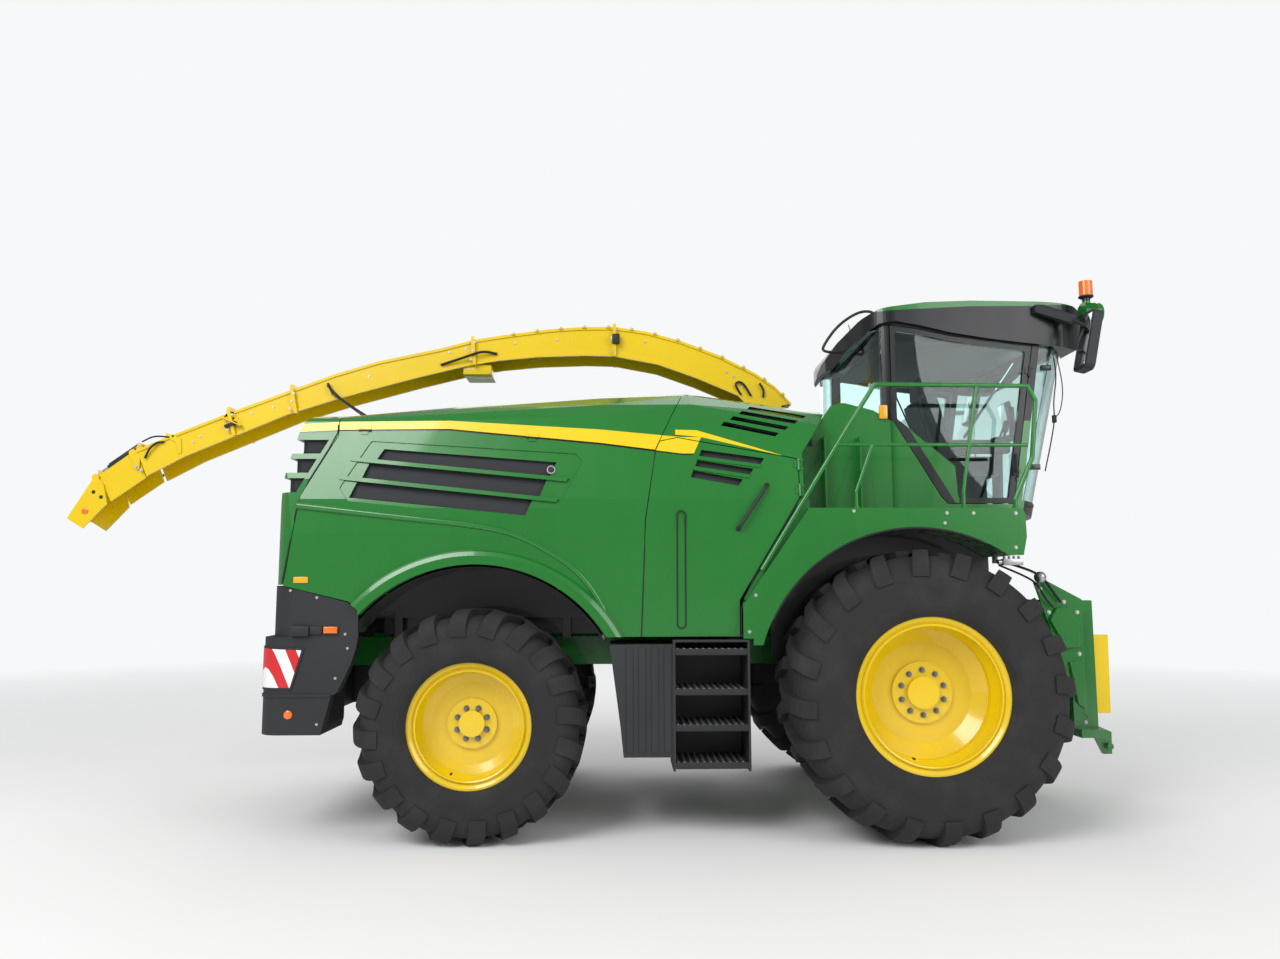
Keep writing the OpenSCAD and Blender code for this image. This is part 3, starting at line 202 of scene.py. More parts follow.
def glass(name, colour, rough=0.0):
    surface = Surface(name)
    smear = surface.ramp(surface.noise(3, 4, (1, 1, 0.4)), 0.45, 0.9)
    return surface.finish(colour=colour, through=1.0, bend=1.45, rough=rough + smear * 0.03)


def rubber(name):
    surface = Surface(name)
    mud = surface.ramp(surface.noise(5, 6), 0.46, 0.78)
    fine = surface.ramp(surface.noise(60, 4), 0.3, 0.8)
    shade = surface.mix(mud * 0.4, (0.012, 0.012, 0.013), (0.045, 0.040, 0.035))
    shade = surface.mix(fine * 0.25, shade, (0.026, 0.025, 0.025))
    return surface.finish(colour=shade, rough=0.72 + fine * 0.16,
                          normal=surface.bump(surface.noise(350, 3), 0.0006, 0.5))


def ripples(a, b):  # waves along two axes, multiplied
    return a.maths("SINE") * b.maths("SINE")


def meshScreen(name, colour, pitch):
    # punched sheet: round holes in staggered rows, with painted shade in the holes
    surface = Surface(name)
    x, z = surface.axis("X") / pitch, surface.axis("Z") / pitch
    # painted shade: the holes are coloured near-black for the shade seen through them
    shadedHole = surface.ramp(ripples(x * wave, z * wave), 0.0, 0.5)
    return surface.finish(colour=surface.mix(shadedHole, colour, (0.002, 0.002, 0.002)), rough=0.6,
                          normal=surface.bump(1 - shadedHole, 0.001, 0.6))


def lens(name, colour):
    surface = Surface(name)
    x, z = surface.axis("X") * 110, surface.axis("Z") * 110
    ridge = ripples(x * wave, z * wave)
    return surface.finish(colour=surface.mix(surface.ramp(ridge, -1, 1) * 0.25, colour, [c * 0.55 for c in colour]),
                          rough=0.12, coat=1.0, coatRough=0.03, normal=surface.bump(ridge, 0.0008, 0.5))


def weave(name, colour):
    surface = Surface(name)
    cross = ripples(surface.axis("Y") * 900, surface.axis("Z") * 900)
    return surface.finish(colour=surface.mix(surface.ramp(cross, -1, 1), colour, [c * 2.2 for c in colour]), rough=0.85,
                          sheen=0.3, normal=surface.bump(cross, 0.0006, 0.6))


def chevrons(name):
    # red and white bars that lean towards the outside
    surface = Surface(name)
    along, z = abs(surface.axis("Y")) + abs(surface.axis("X")) * 0.95, surface.axis("Z")
    phase = (along - z * 0.42) / 0.148 + 40
    red = phase.maths("FRACT") > 0.52
    cell = surface.noise(500, 1)
    return surface.finish(colour=surface.mix(red, (0.82, 0.82, 0.80), (0.62, 0.012, 0.018)), rough=0.25 + cell * 0.15,
                          coat=0.4, coatRough=0.1, normal=surface.bump(cell, 0.0003, 0.3))


bandLow = [(-4.80, 2.895), (-4.46, 2.909), (-4.20, 2.922), (-3.42, 2.926), (-2.30, 2.820), (-1.70, 2.742)]
bandHigh = [(-4.80, 2.955), (-4.46, 2.969), (-4.20, 2.984), (-3.42, 2.993), (-2.30, 2.926), (-1.70, 2.868)]
dartLow = [(-1.745, 2.888), (-1.55, 2.868), (-0.958, 2.727)]
dartHigh = [(-1.745, 2.926), (-1.587, 2.923), (-0.958, 2.729)]

green = paint("greenEnamel", paints["green"])
yellow = paint("yellowEnamel", paints["yellow"], dust=0.3)
stripedHood = stripedPaint("greenEnamelBand", (bandLow, bandHigh))
stripedCowl = stripedPaint("greenEnamelBandEnd", (bandLow, bandHigh), -2.841, -0.449, (dartLow, dartHigh))
blackPlastic = plastic("blackPlastic", (0.015, 0.016, 0.019))
greyPlastic = plastic("greyPlastic", (0.018, 0.019, 0.022), 0.5)
blackSteel = paint("blackEnamel", (0.014, 0.014, 0.015), 0.7, 0.35)
tyreRubber = rubber("tyreRubber")
sealRubber = plastic("sealRubber", (0.012, 0.012, 0.013), 0.7)
castGrey = paint("greyCasting", (0.10, 0.10, 0.105), 0.8, 0.5)
steel = metal("brightSteel", (0.55, 0.55, 0.56), 0.32, (1, 1, 8))
chrome = metal("chromedSteel", (0.82, 0.82, 0.84), 0.08)
galvanised = metal("zincSteel", (0.60, 0.61, 0.60), 0.42)
nutSteel = metal("nutSteel", (0.26, 0.26, 0.25), 0.38)
cabGlassLook = glass("tintedGlass", (0.62, 0.78, 0.76))
lampGlass = lens("clearLens", (0.80, 0.82, 0.80))
amber = lens("amberLens", (0.85, 0.16, 0.0))
yellowAmber = lens("yellowAmberLens", (0.85, 0.40, 0.0))
redLens = lens("redLens", (0.55, 0.01, 0.01))
mirrorFace = metal("mirrorGlass", (0.85, 0.87, 0.88), 0.02)
screenMesh = meshScreen("punchedScreen", (0.020, 0.022, 0.030), 0.008)
seatCloth = weave("seatCloth", (0.018, 0.019, 0.022))
warningBars = chevrons("warningBars")
cabTrim = plastic("cabTrim", (0.030, 0.030, 0.032), 0.7)

roofEdge = [(-0.43, 3.93), (-0.11, 3.912), (0.60, 3.950), (1.10, 3.955), (1.40, 3.972), (1.63, 4.02)]
dark = (0.004, 0.005, 0.007)
cabPaint = splitPaint("cabEnamel", lambda surface, x, y, z: either(z > 3.045, x - (z - 2.4) * 0.158 > 0.965), dark)
doorPaint = splitPaint("doorEnamel",
                       lambda surface, x, y, z: 1 - (z < 3.02) * (x < 0.462) * (x + z * 0.598 > 1.872), dark)
roofPaint = splitPaint("roofEnamel", lambda surface, x, y, z: z < surface.line(x, roofEdge), dark, 0.2)
podPaint = splitPaint("lampPodEnamel", lambda surface, x, y, z: z > 3.985, dark)
hookPaint = splitPaint("intakeEnamel", lambda surface, x, y, z: (y > 0.586) * (y < 0.630) * (z > 0.75) * (x > 1.585),
                       paints["yellow"])
looks = {
    "green": (green, "front_axle rear_axle main_frame fenders handrails crop_duct knuckle_l knuckle_r"),
    "cab": (cabPaint, "cab_shell"),
    "door": (doorPaint, "door_l door_r"),
    "roof": (roofPaint, "cab_roof"),
    "pod": (podPaint, "lamp_pods"),
    "intake": (hookPaint, "feed_housing"),
    "band": (stripedHood, "hood side_panel_l side_panel_r tail_gate"),
    "dart": (stripedCowl, "mid_cowl mid_panel_l mid_panel_r"),
    "yellow": (yellow, "front_rim_l front_rim_r rear_rim_l rear_rim_r spout_base spout_arm spout_flap spout_tip"),
    "tyre": (tyreRubber, "front_tyre_l front_tyre_r rear_tyre_l rear_tyre_r"),
    "plastic": (blackPlastic, "bumper tail_skirt steering_column mirrors"),
    "grey": (greyPlastic, "step_boxes"),
    "black": (blackSteel, "body_frame cooling_pack hitch spout_cradle lift_barrels"),
    "cast": (castGrey, "engine"),
    "steel": (steel, "tie_rod slew_ring feed_rolls"),
    "chrome": (chrome, "lift_rods"),
    "glass": (cabGlassLook, "cab_glass door_glass_l door_glass_r"),
    "lamp": (lampGlass, "lamps"),
    "amber": (amber, "beacons"),
    "seat": (seatCloth, "seat"),
}
for look, names in looks.values():
    for name in names.split():
        nodes[name].data.materials.clear()
        nodes[name].data.materials.append(look.material)
slots = {  # the record's slot that a piece takes with its look
    "black_plastic": (blackPlastic, sealRubber, screenMesh, cabTrim), "black_paint": (blackSteel,),
    "green_paint": (green,), "yellow_paint": (yellow,), "steel": (steel, nutSteel, galvanised),
    "chrome": (chrome, mirrorFace), "amber_lens": (amber, yellowAmber, redLens),
    "lamp_glass": (lampGlass, warningBars), "seat_fabric": (seatCloth,),
}
slotOf = {look: slot for slot, sharing in slots.items() for look in sharing}
print("materials ready:", len(bpy.data.materials))


# making pieces: lengths in the helpers are millimetres from the front axle, as on a drawing

sharpFrom = 35  # degrees between faces from which an edge stays sharp


def at(x, y, z):
    return Vector((x / 1000 + axleX, y / 1000, z / 1000))


def piece(name, bm, look, body="chassis"):
    bmesh.ops.remove_doubles(bm, verts=bm.verts, dist=1e-6)
    bmesh.ops.recalc_face_normals(bm, faces=bm.faces)
    mesh = bpy.data.meshes.new(name)
    bm.to_mesh(mesh)
    bm.free()
    mesh.materials.append(look.material)
    mesh.shade_smooth()
    mesh.set_sharp_from_angle(angle=math.radians(sharpFrom))
    made = bpy.data.objects.new(name, mesh)
    bpy.context.scene.collection.objects.link(made)
    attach(made, body)
    return made


def edgesOf(verts):
    return list({e for v in verts for e in v.link_edges})


def pitched(degrees):  # a turn about the machine's width, nose down where positive
    return Matrix.Rotation(math.radians(degrees), 4, "Y")


def soften(bm, edges, width, steps=2):
    if width:
        bmesh.ops.bevel(bm, geom=edges, offset=width / 1000, offset_type="OFFSET", segments=steps, profile=0.5,
                        affect="EDGES", material=-1, clamp_overlap=True)


def block(bm, low, high, edge=0.0, turn=None, about=None):
    made = bmesh.ops.create_cube(bm, size=1)["verts"]
    a, b = at(*low), at(*high)
    bmesh.ops.scale(bm, vec=b - a, verts=made)
    bmesh.ops.translate(bm, vec=(a + b) / 2, verts=made)
    if turn:
        bmesh.ops.rotate(bm, cent=about or (a + b) / 2, matrix=turn.to_3x3(), verts=made)
    soften(bm, edgesOf(made), edge)


def bar(bm, a, b, radius, sides=12, end=None, edge=0.0):
    a, b = at(*a), at(*b)
    turn = (b - a).to_track_quat("Z", "Y").to_matrix().to_4x4()
    made = bmesh.ops.create_cone(bm, cap_ends=True, segments=sides, radius1=radius / 1000,
                                 radius2=(radius if end is None else end) / 1000, depth=(b - a).length,
                                 matrix=Matrix.Translation((a + b) / 2) @ turn)["verts"]
    if edge:
        soften(bm, [e for e in edgesOf(made) if len(e.link_faces) == 2 and e.calc_face_angle(0) > 1], edge)


def bolt(bm, centre, out, radius=11, height=9):
    c, o = Vector(centre), Vector(out).normalized()
    bar(bm, c, c + o * height * 0.25, radius * 1.45, 12)
    bar(bm, c, c + o * height, radius, 6)


def vertsIn(made):
    return [v for v in made if isinstance(v, bmesh.types.BMVert)]


def tube(bm, points, radius, sides=10, rounds=3):
    path = [at(*p) for p in points]
    for _ in range(rounds):  # Chaikin's corner cutting
        path = [path[0]] + [q for a, b in zip(path, path[1:]) for q in (a.lerp(b, 0.25), a.lerp(b, 0.75))] + [path[-1]]
    ring = bmesh.ops.create_circle(bm, segments=sides, radius=radius / 1000, cap_ends=True)["verts"]
    heading = (path[1] - path[0]).normalized()
    turn = heading.to_track_quat("Z", "Y").to_matrix()
    bmesh.ops.rotate(bm, matrix=turn, cent=(0, 0, 0), verts=ring)
    bmesh.ops.translate(bm, vec=path[0], verts=ring)
    face = next(f for f in ring[0].link_faces if len(f.verts) == sides)
    for i in range(1, len(path)):
        after = (path[min(i + 1, len(path) - 1)] - path[i - 1]).normalized()
        made = bmesh.ops.extrude_face_region(bm, geom=[face])["geom"]
        new = vertsIn(made)
        bmesh.ops.translate(bm, vec=path[i] - path[i - 1], verts=new)
        swing = heading.rotation_difference(after).to_matrix()
        bmesh.ops.rotate(bm, matrix=swing, cent=path[i], verts=new)
        old, heading = face, after
        face = next(f for f in made if isinstance(f, bmesh.types.BMFace))
        if i > 1 and old.is_valid:
            bmesh.ops.delete(bm, geom=[old], context="FACES_ONLY")


def sheet(bm, corners, deep, edge=0.0):  # flat sheet through the corners, deep thick along the machine's width
    face = bm.faces.new([bm.verts.new(at(*corner)) for corner in corners])
    made = vertsIn(bmesh.ops.extrude_face_region(bm, geom=[face])["geom"])
    bmesh.ops.translate(bm, vec=(0, deep / 1000, 0), verts=made)
    if edge:
        soften(bm, edgesOf(list(face.verts) + made), edge, 1)


def outline(bm, points, y0, y1, edge=0.0):
    sheet(bm, [(x, y0, z) for x, z in points], y1 - y0, edge)


def lathe(bm, profile, centre, out, steps=48):
    # turns (radius, distance along the axis) points round the axis through centre
    c, o = at(*centre), Vector(out).normalized()
    turn = o.to_track_quat("Z", "Y").to_matrix()
    chain = [bm.verts.new(c + turn @ Vector((r / 1000, 0, d / 1000))) for r, d in profile]
    edges = [bm.edges.new(pair) for pair in zip(chain, chain[1:])]
    bmesh.ops.spin(bm, geom=chain + edges, cent=c, axis=o, angle=2 * math.pi, steps=steps, use_merge=True)


flank = {"top": (1212, 2985), "waist": (1310, 2400), "hip": (1318, 2150), "foot": (1290, 1400)}  # y and z
bodyMiddle = -3600  # strips lie on the side of their path that faces away from it


def between(low, high, z):  # y at a height on the line through two points of the flank
    (y0, z0), (y1, z1) = flank[low], flank[high]
    return y0 + (z - z0) * (y1 - y0) / (z1 - z0)


def flankY(z):  # how far the leaning flank stands from the middle at a height
    return between("top", "waist", z)


def bodyY(z):  # the same for the whole side, with the part under the waist
    return flankY(z) if z > flank["waist"][1] else between("foot", "hip", z)


def onSide(s, points, out):  # points (x, z) laid on the side s of the body, and moved outwards
    return [(x, s * (bodyY(z) + out), z) for x, z in points]


def arc(x, z, radius, angles):  # points on a circle, at angles in degrees
    return [(x + radius * math.cos(a), z + radius * math.sin(a)) for a in map(math.radians, angles)]


def strip(bm, path, low, high, d0=1, d1=6):
    # closed band along a path in plan, between two heights, from d0 to d1 outside the path
    rows, count = [], len(path)
    for i, (x, y) in enumerate(path):
        a, b = Vector(path[max(i - 1, 0)]), Vector(path[min(i + 1, count - 1)])
        out = Vector(((b - a).y, -(b - a).x)).normalized()
        if out.dot(Vector((x - bodyMiddle, y))) < 0:
            out = -out
        z0, z1 = (h[i] if isinstance(h, list) else h for h in (low, high))
        corners = ((d0, z0), (d0, z1), (d1, z1), (d1, z0))
        rows.append([bm.verts.new(at(x + out.x * d, y + out.y * d, z)) for d, z in corners])
    for a, b in zip(rows, rows[1:]):
        for i in range(4):
            bm.faces.new((a[i], a[(i + 1) % 4], b[(i + 1) % 4], b[i]))
    bm.faces.new(rows[0])
    bm.faces.new(rows[-1])


sides = ((1, "l"), (-1, "r"))  # y's sign and the tag of the left and the right side

# wheels

wheels = {
    "front": {"studs": 10, "circle": 158, "hub": (1280, 1010), "x": 0, "disc": 67, "lip": 540, "half": 400},
    "rear": {"studs": 8, "circle": 112, "hub": (1240, 805), "x": -3200, "disc": 76, "lip": 435, "half": 310},
}
frontHub = wheels["front"]["hub"][1]
for axle, spec in wheels.items():
    for s, tag in sides:
        y, z = spec["hub"]
        body = f"{axle}_wheel_{tag}"
        bm = bmesh.new()
        pitch = 360 / spec["studs"]
        for px, pz in arc(spec["x"], z, spec["circle"], [pitch * (k + 0.5) for k in range(spec["studs"])]):
            c = Vector((px, s * (y + spec["disc"]), pz))
            bolt(bm, c, (0, s, 0), 15, 22)
            bar(bm, c, c + Vector((0, s * 34, 0)), 9, 10)
        piece(f"{axle}Nuts_{tag}", bm, nutSteel, body)
        bm = bmesh.new()  # rolled bead inside the rim's lip
        r = spec["lip"] - 62
        lathe(bm, [(r, 0), (r + 10, -3), (r + 14, 5), (r + 6, 13), (r - 2, 9), (r, 0)],
              (spec["x"], s * (y + spec["half"] - 88), z), (0, s, 0), 72)
        piece(f"{axle}RimBead_{tag}", bm, yellow, body)
        bm = bmesh.new()  # valve, low on the rim
        (px, pz), = arc(spec["x"], z, spec["lip"] - 95, [250])
        c = Vector((px, s * (y + spec["half"] - 115), pz))
        bar(bm, c, c + Vector((0, s * 44, 0)), 5, 8)
        bar(bm, c + Vector((0, s * 30, 0)), c + Vector((0, s * 50, 0)), 8, 10)
        piece(f"{axle}Valve_{tag}", bm, blackPlastic, body)
print("wheels dressed")

# side panels, cowl and rear end

bodywork = {
    "meshSetBack": 34, "reflector": (-4447, 1816, 52, 22), "latch": (-2662, 2616), "slotHandle": (-1711, 1494, 2281),
    "turnLamp": (-4221, 1460), "roundReflector": (-4502, 867), "rearLampHeight": 1520,
    "skirtFace": (-4742, 82 / 698), "bumperFace": (-4795, 65 / 540),  # x at 600 mm off the middle, and slant in plan
    "sideScreen": ((-4140, 2800), (-2560, 2700), (-2760, 2250), (-4270, 2385)),
    "midScreen": ((-1660, 2796), (-1020, 2722), (-1240, 2460), (-1700, 2540)),
    "grabHandle": ((-1078, 2502), (-1296, 2179)),
    "cowlEdge": ((-829, 2698), (-829, 2420), (-921, 2262), (-1277, 1664), (-1277, 1412)),
    "gaps": (((-4241, 2960), (-4241, 2880), (-4483, 2420), (-4553, 1960), (-4582, 1790)),
             ((-1893, 2764), (-1970, 2246), (-2001, 1410))),
    "corner": (-4571, 1140, 162),  # centre and radius of the bumper's corner in plan
    "screws": ((-4120, 1430), (-4520, 1740), (-4330, 1690), (-4100, 1330), (-4180, 1120), (-4300, 800)),
    "louvreTops": (2555, 2700, 2845),  # upper edges of the tail's corner louvres
    "fold": ((-4490, 2352), (-3838, 2276), (-3027, 2188), (-2728, 2057), (-2416, 1848), (-2213, 1489)),
}


def faceX(face, y):
    x, slant = bodywork[face]
    return x + (abs(y) - 600) * slant


for s, tag in sides:
    for panel in ("side", "mid"):  # dark screens behind the panels' slots
        bm = bmesh.new()
        corners = bodywork[f"{panel}Screen"]
        sheet(bm, [(x, s * (flankY(z) - bodywork["meshSetBack"]), z) for x, z in corners], -4 * s)
        piece(f"{panel}Screen_{tag}", bm, screenMesh, f"{panel}_panel_{tag}")

    x, z = bodywork["latch"]
    bm = bmesh.new()
    y = s * (flankY(z) - 9)
    lathe(bm, [(0, 0), (34, 0), (34, 8), (30, 13), (25, 13), (23, 8), (0, 8)], (x, y, z), (0, s, 0.17), 32)
    piece(f"latchRing_{tag}", bm, steel, f"side_panel_{tag}")
    bm = bmesh.new()
    lathe(bm, [(0, 7.5), (22, 7.5), (20, 17), (0, 18)], (x, y, z), (0, s, 0.17), 24)
    piece(f"latchKnob_{tag}", bm, blackPlastic, f"side_panel_{tag}")

    x, z0, z1 = bodywork["slotHandle"]
    bm = bmesh.new()  # raised rim of the pressed grip down the middle panel
    half = [22.5 * k for k in range(9)]
    rim = arc(x, z0, 30, [180 + a for a in half]) + arc(x, z1, 30, half)
    tube(bm, onSide(s, rim + rim[:1], 2), 5, 8, 1)
    piece(f"gripRim_{tag}", bm, sealRubber, f"mid_panel_{tag}")

    bm = bmesh.new()  # black grab handle beside the lower louvre
    a, b = (Vector((px, 0, pz)) for px, pz in bodywork["grabHandle"])
    spots = [a.lerp(b, t) for t in (0.0, 0.05, 0.12, 0.88, 0.95, 1.0)]
    lift = (6, 26, 34, 34, 26, 6)
    tube(bm, [(p.x, s * (bodyY(p.z) + h), p.z) for p, h in zip(spots, lift)], 13, 10, 2)
    for p in (a, b):
        bolt(bm, (p.x, s * (bodyY(p.z) + 1), p.z), (0, s, 0.1), 13, 8)
    piece(f"grabHandle_{tag}", bm, blackPlastic, f"mid_panel_{tag}")

    bm = bmesh.new()  # rubber lip where the cowl meets the neck plates
    tube(bm, onSide(s, bodywork["cowlEdge"], -12), 8, 8, 1)
    piece(f"cowlSeal_{tag}", bm, sealRubber)

    bm = bmesh.new()  # rubber in the gaps between the panels
    for path in bodywork["gaps"]:
        tube(bm, onSide(s, path, -4), 7, 8, 1)
    piece(f"panelSeals_{tag}", bm, sealRubber)
    bm = bmesh.new()  # cheek between the cowl and the fender
    outline(bm, [(-1262, 1672), (-872, 2326), (-842, 2400), (-770, 2400), (-770, 2326), (-790, 2290), (-1235, 1660)],
            s * 1300, s * 1308, 1)
    piece(f"fenderCheek_{tag}", bm, green)

    x, z, w, h = bodywork["reflector"]
    bm = bmesh.new()
    y0, y1 = sorted((s * (bodyY(z) - 2), s * (bodyY(z) + 7)))
    block(bm, (x - w, y0, z - h), (x + w, y1, z + h), 3)
    piece(f"sideReflector_{tag}", bm, yellowAmber, f"side_panel_{tag}")

    # rear corner: chevron board in its frame, lamps and reflector
    turn = arc(*bodywork["corner"], (105, 120, 135, 150, 162))
    plan = [(px, s * py) for px, py in [(-4408, 1302), (-4486, 1302), (-4571, 1302)] + turn]
    bm = bmesh.new()
    strip(bm, plan, [1312] + [1040] * 7, [1332, *range(1336, 1350, 2)], 0.5, 5)
    piece(f"chevronFrame_{tag}", bm, blackPlastic)
    plan = [(px, s * py) for px, py in [(-4426, 1302), (-4496, 1302), (-4571, 1302)] + turn[:-1] + [(-4722, 1196)]]
    bm = bmesh.new()
    strip(bm, plan, [1306] + [1056] * 7, [1318, *range(1322, 1336, 2)], 4.5, 7)
    piece(f"chevronBoard_{tag}", bm, warningBars)
    bm = bmesh.new()
    strip(bm, [(faceX("bumperFace", py), s * py) for py in (1090, 900, 720)], 1056, 1330, 1, 6)
    piece(f"rearChevron_{tag}", bm, warningBars)
    bm = bmesh.new()  # rib round the lower edge of the bumper
    strip(bm, [(px, s * py) for px, py in [(-4214, 1300), (-4571, 1300)] + turn], 988, 1012, -2, 6)
    piece(f"bumperRib_{tag}", bm, blackPlastic)
    x, z = bodywork["roundReflector"]
    bm = bmesh.new()
    lathe(bm, [(0, 0), (30, 0), (30, 7), (24, 10), (0, 11)], (x, s * 1300, z), (0, s, 0), 28)
    piece(f"roundReflector_{tag}", bm, amber)
    x, z = bodywork["turnLamp"]
    bm = bmesh.new()
    block(bm, (x - 50, s * 1298, z - 24), (x + 50, s * 1322, z + 24), 6)
    piece(f"turnLamp_{tag}", bm, amber)
    bm = bmesh.new()
    block(bm, (x - 285, s * 1296, z - 44), (x - 150, s * 1330, z + 30), 8)
    block(bm, (x - 150, s * 1296, z - 30), (x - 60, s * 1316, z + 26), 5)
    piece(f"sideLampBox_{tag}", bm, blackPlastic)
    # rear lamps on the skirt
    z = bodywork["rearLampHeight"]
    for k, look in enumerate((redLens, amber, lampGlass)):
        y = s * (980 - 120 * k)
        x = faceX("skirtFace", y)
        bm = bmesh.new()
        lathe(bm, [(0, 0), (50, 0), (50, 12), (42, 20), (0, 23)], (x, y, z), (-1, s * 0.11, 0), 32)
        piece(f"rearLamp{k}_{tag}", bm, look)
        bm = bmesh.new()
        lathe(bm, [(50, -1), (57, -1), (57, 15), (50, 15)], (x, y, z), (-1, s * 0.11, 0), 32)
        piece(f"rearLampRing{k}_{tag}", bm, blackPlastic)
    bm = bmesh.new()  # screws along the skirt and the bumper
    for px, pz in bodywork["screws"]:
        bolt(bm, (px, s * (1298 if pz > 1400 else 1300), pz), (0, s, 0), 7, 5)
    piece(f"skirtBolts_{tag}", bm, galvanised)

bm = bmesh.new()  # screens behind the tail gate's slots and its corner louvres
outline(bm, [(-4660, 1940), (-4610, 2300), (-4596, 2430), (-4488, 2855), (-4484, 2855), (-4592, 2430), (-4606, 2300),
             (-4656, 1940)], -900, 900)
for s, tag in sides:
    for z in bodywork["louvreTops"]:
        y, x = flankY(z) - 32, -4608 + (z - 2430) * 0.25
        strip(bm, [(-4290, s * y), (x + 45, s * y), (x, s * (y - 45)), (x, s * 880)], z - 118, z + 12, 0, 4)
piece("tailScreen", bm, screenMesh, "tail_gate")
for s, tag in sides:
    bm = bmesh.new()  # screen under the cowl's top louvres
    chains = []
    for x, ridge, shoulder in ((-1460, 3307, 2858), (-1080, 3254, 2783), (-700, 3200, 2708)):
        spots = [bm.verts.new(at(x, s * (1182 - d), shoulder + f * (ridge - shoulder) - 45)) for d, f in
                 ((45, 0.3), (150, 0.58), (330, 0.82), (560, 0.95))]
        chains += [bm.edges.new(pair) for pair in zip(spots, spots[1:])]
    bmesh.ops.bridge_loops(bm, edges=chains)
    bmesh.ops.solidify(bm, geom=bm.faces[:], thickness=0.004)
    piece(f"cowlScreen_{tag}", bm, screenMesh)
    bm = bmesh.new()  # pressed fold that sweeps from the tail over the wheel arch
    tube(bm, onSide(s, bodywork["fold"], -13), 25, 16)
    piece(f"archFold_{tag}", bm, green, f"side_panel_{tag}")
    bm = bmesh.new()  # black sheets behind the front wheel and the rear wheel, and painted shade: a black sheet behind the gap at the neck
    arch = arc(0, frontHub, 900, range(38, 169, 10))
    outline(bm, [(-1000, 2322), (700, 2322)] + arch + [(-1000, 1200)], s * 846, s * 852)
    block(bm, (-4000, s * 634, 1402), (-2090, s * 640, 1575))
    # painted shade: black sheet that fills the gap beside the neck, where only shade shows
    block(bm, (-1330, s * 1180, 1405), (-1180, s * 1186, 1700))
    piece(f"wheelHousesAndNeckShade_{tag}", bm, blackSteel)
bm = bmesh.new()  # holder for the number plate, and the tail gate's grip
block(bm, (-4745, -170, 1480), (-4738, 170, 1590), 3)
piece("plateHolder", bm, blackPlastic)
bm = bmesh.new()
tube(bm, [(-4722, -160, 1842), (-4760, -150, 1842), (-4760, 150, 1842), (-4722, 160, 1842)], 11, 10, 2)
piece("tailGrip", bm, blackPlastic, "tail_gate")
print("bodywork dressed")

# fenders and steps

platform = {
    "treadPitch": 46, "treadBars": 11, "treadHeights": (1290, 1010, 760, 500), "deck": 2330, "archRadius": 1173,
    "screws": ((-455, 2306), (225, 2291), (208, 2218), (-1180, 1700), (-1230, 1440), (730, 2290), (720, 2040),
               (420, 2290)),
}
for s, tag in sides:
    bm = bmesh.new()  # raised grip bars on the treads
    for z in platform["treadHeights"]:
        for k in range(platform["treadBars"]):
            x = -1752 + platform["treadPitch"] * k
            block(bm, (x, s * 940, z + 30), (x + 16, s * 1330, z + 34), 1)
    piece(f"treadGrip_{tag}", bm, galvanised)
    bm = bmesh.new()  # edge strips along the treads
    for z in platform["treadHeights"]:
        block(bm, (-1760, s * 1344, z - 14), (-1247, s * 1349, z + 32), 1.5)
    piece(f"treadEdge_{tag}", bm, blackPlastic)
    bm = bmesh.new()  # studs of the deck's tread plate
    for i in range(20):
        for j in range(6):
            x, y = -760 + 76 * i + (j % 2) * 38, 1010 + 56 * j
            lathe(bm, [(0, 0), (9, 0), (7, 3), (0, 3.4)], (x, s * y, platform["deck"]), (0, 0, 1), 8)
    piece(f"deckStuds_{tag}", bm, green)
    bm = bmesh.new()
    for x, z in platform["screws"]:
        bolt(bm, (x, s * 1350, z), (0, s, 0), 9, 7)
    piece(f"fenderBolts_{tag}", bm, galvanised)
    bm = bmesh.new()  # rubber edge round the wheel arch
    arch = arc(0, frontHub, platform["archRadius"], range(64, 155, 6))
    tube(bm, [(px, s * 1342, pz) for px, pz in arch], 9, 8, 1)
    piece(f"archLip_{tag}", bm, sealRubber)
    bm = bmesh.new()
    lathe(bm, [(64, 0), (74, 0), (74, 46), (70, 56), (64, 50)], (778, s * 1180, 2120), (1, 0, 0), 36)
    piece(f"noseLampRing_{tag}", bm, green)
print("platforms dressed")

# cab outside

cab = {
    "side": 950, "strut": ((947, 3512), (534, 2916)), "handle": (905, 2700), "seat": 380,
    "mirror": (1405, 1215, 3610), "beacon": (1510, 1005, 4012), "pod": (1588, 1005, 3885),
    "roofLamps": (-520, -180, 180, 520), "seatLean": -14.6,  # degrees
    "leads": (  # radius and points of the lead and the washer hose ahead of the front post
        (5, ((1262, 930, 3560), (1275, 940, 3400), (1236, 945, 3200), (1240, 945, 3060), (1210, 940, 2900),
             (1150, 930, 2650))),
        (4, ((1290, 930, 3560), (1320, 950, 3300), (1290, 945, 3120), (1245, 945, 3070))),
    ),
}

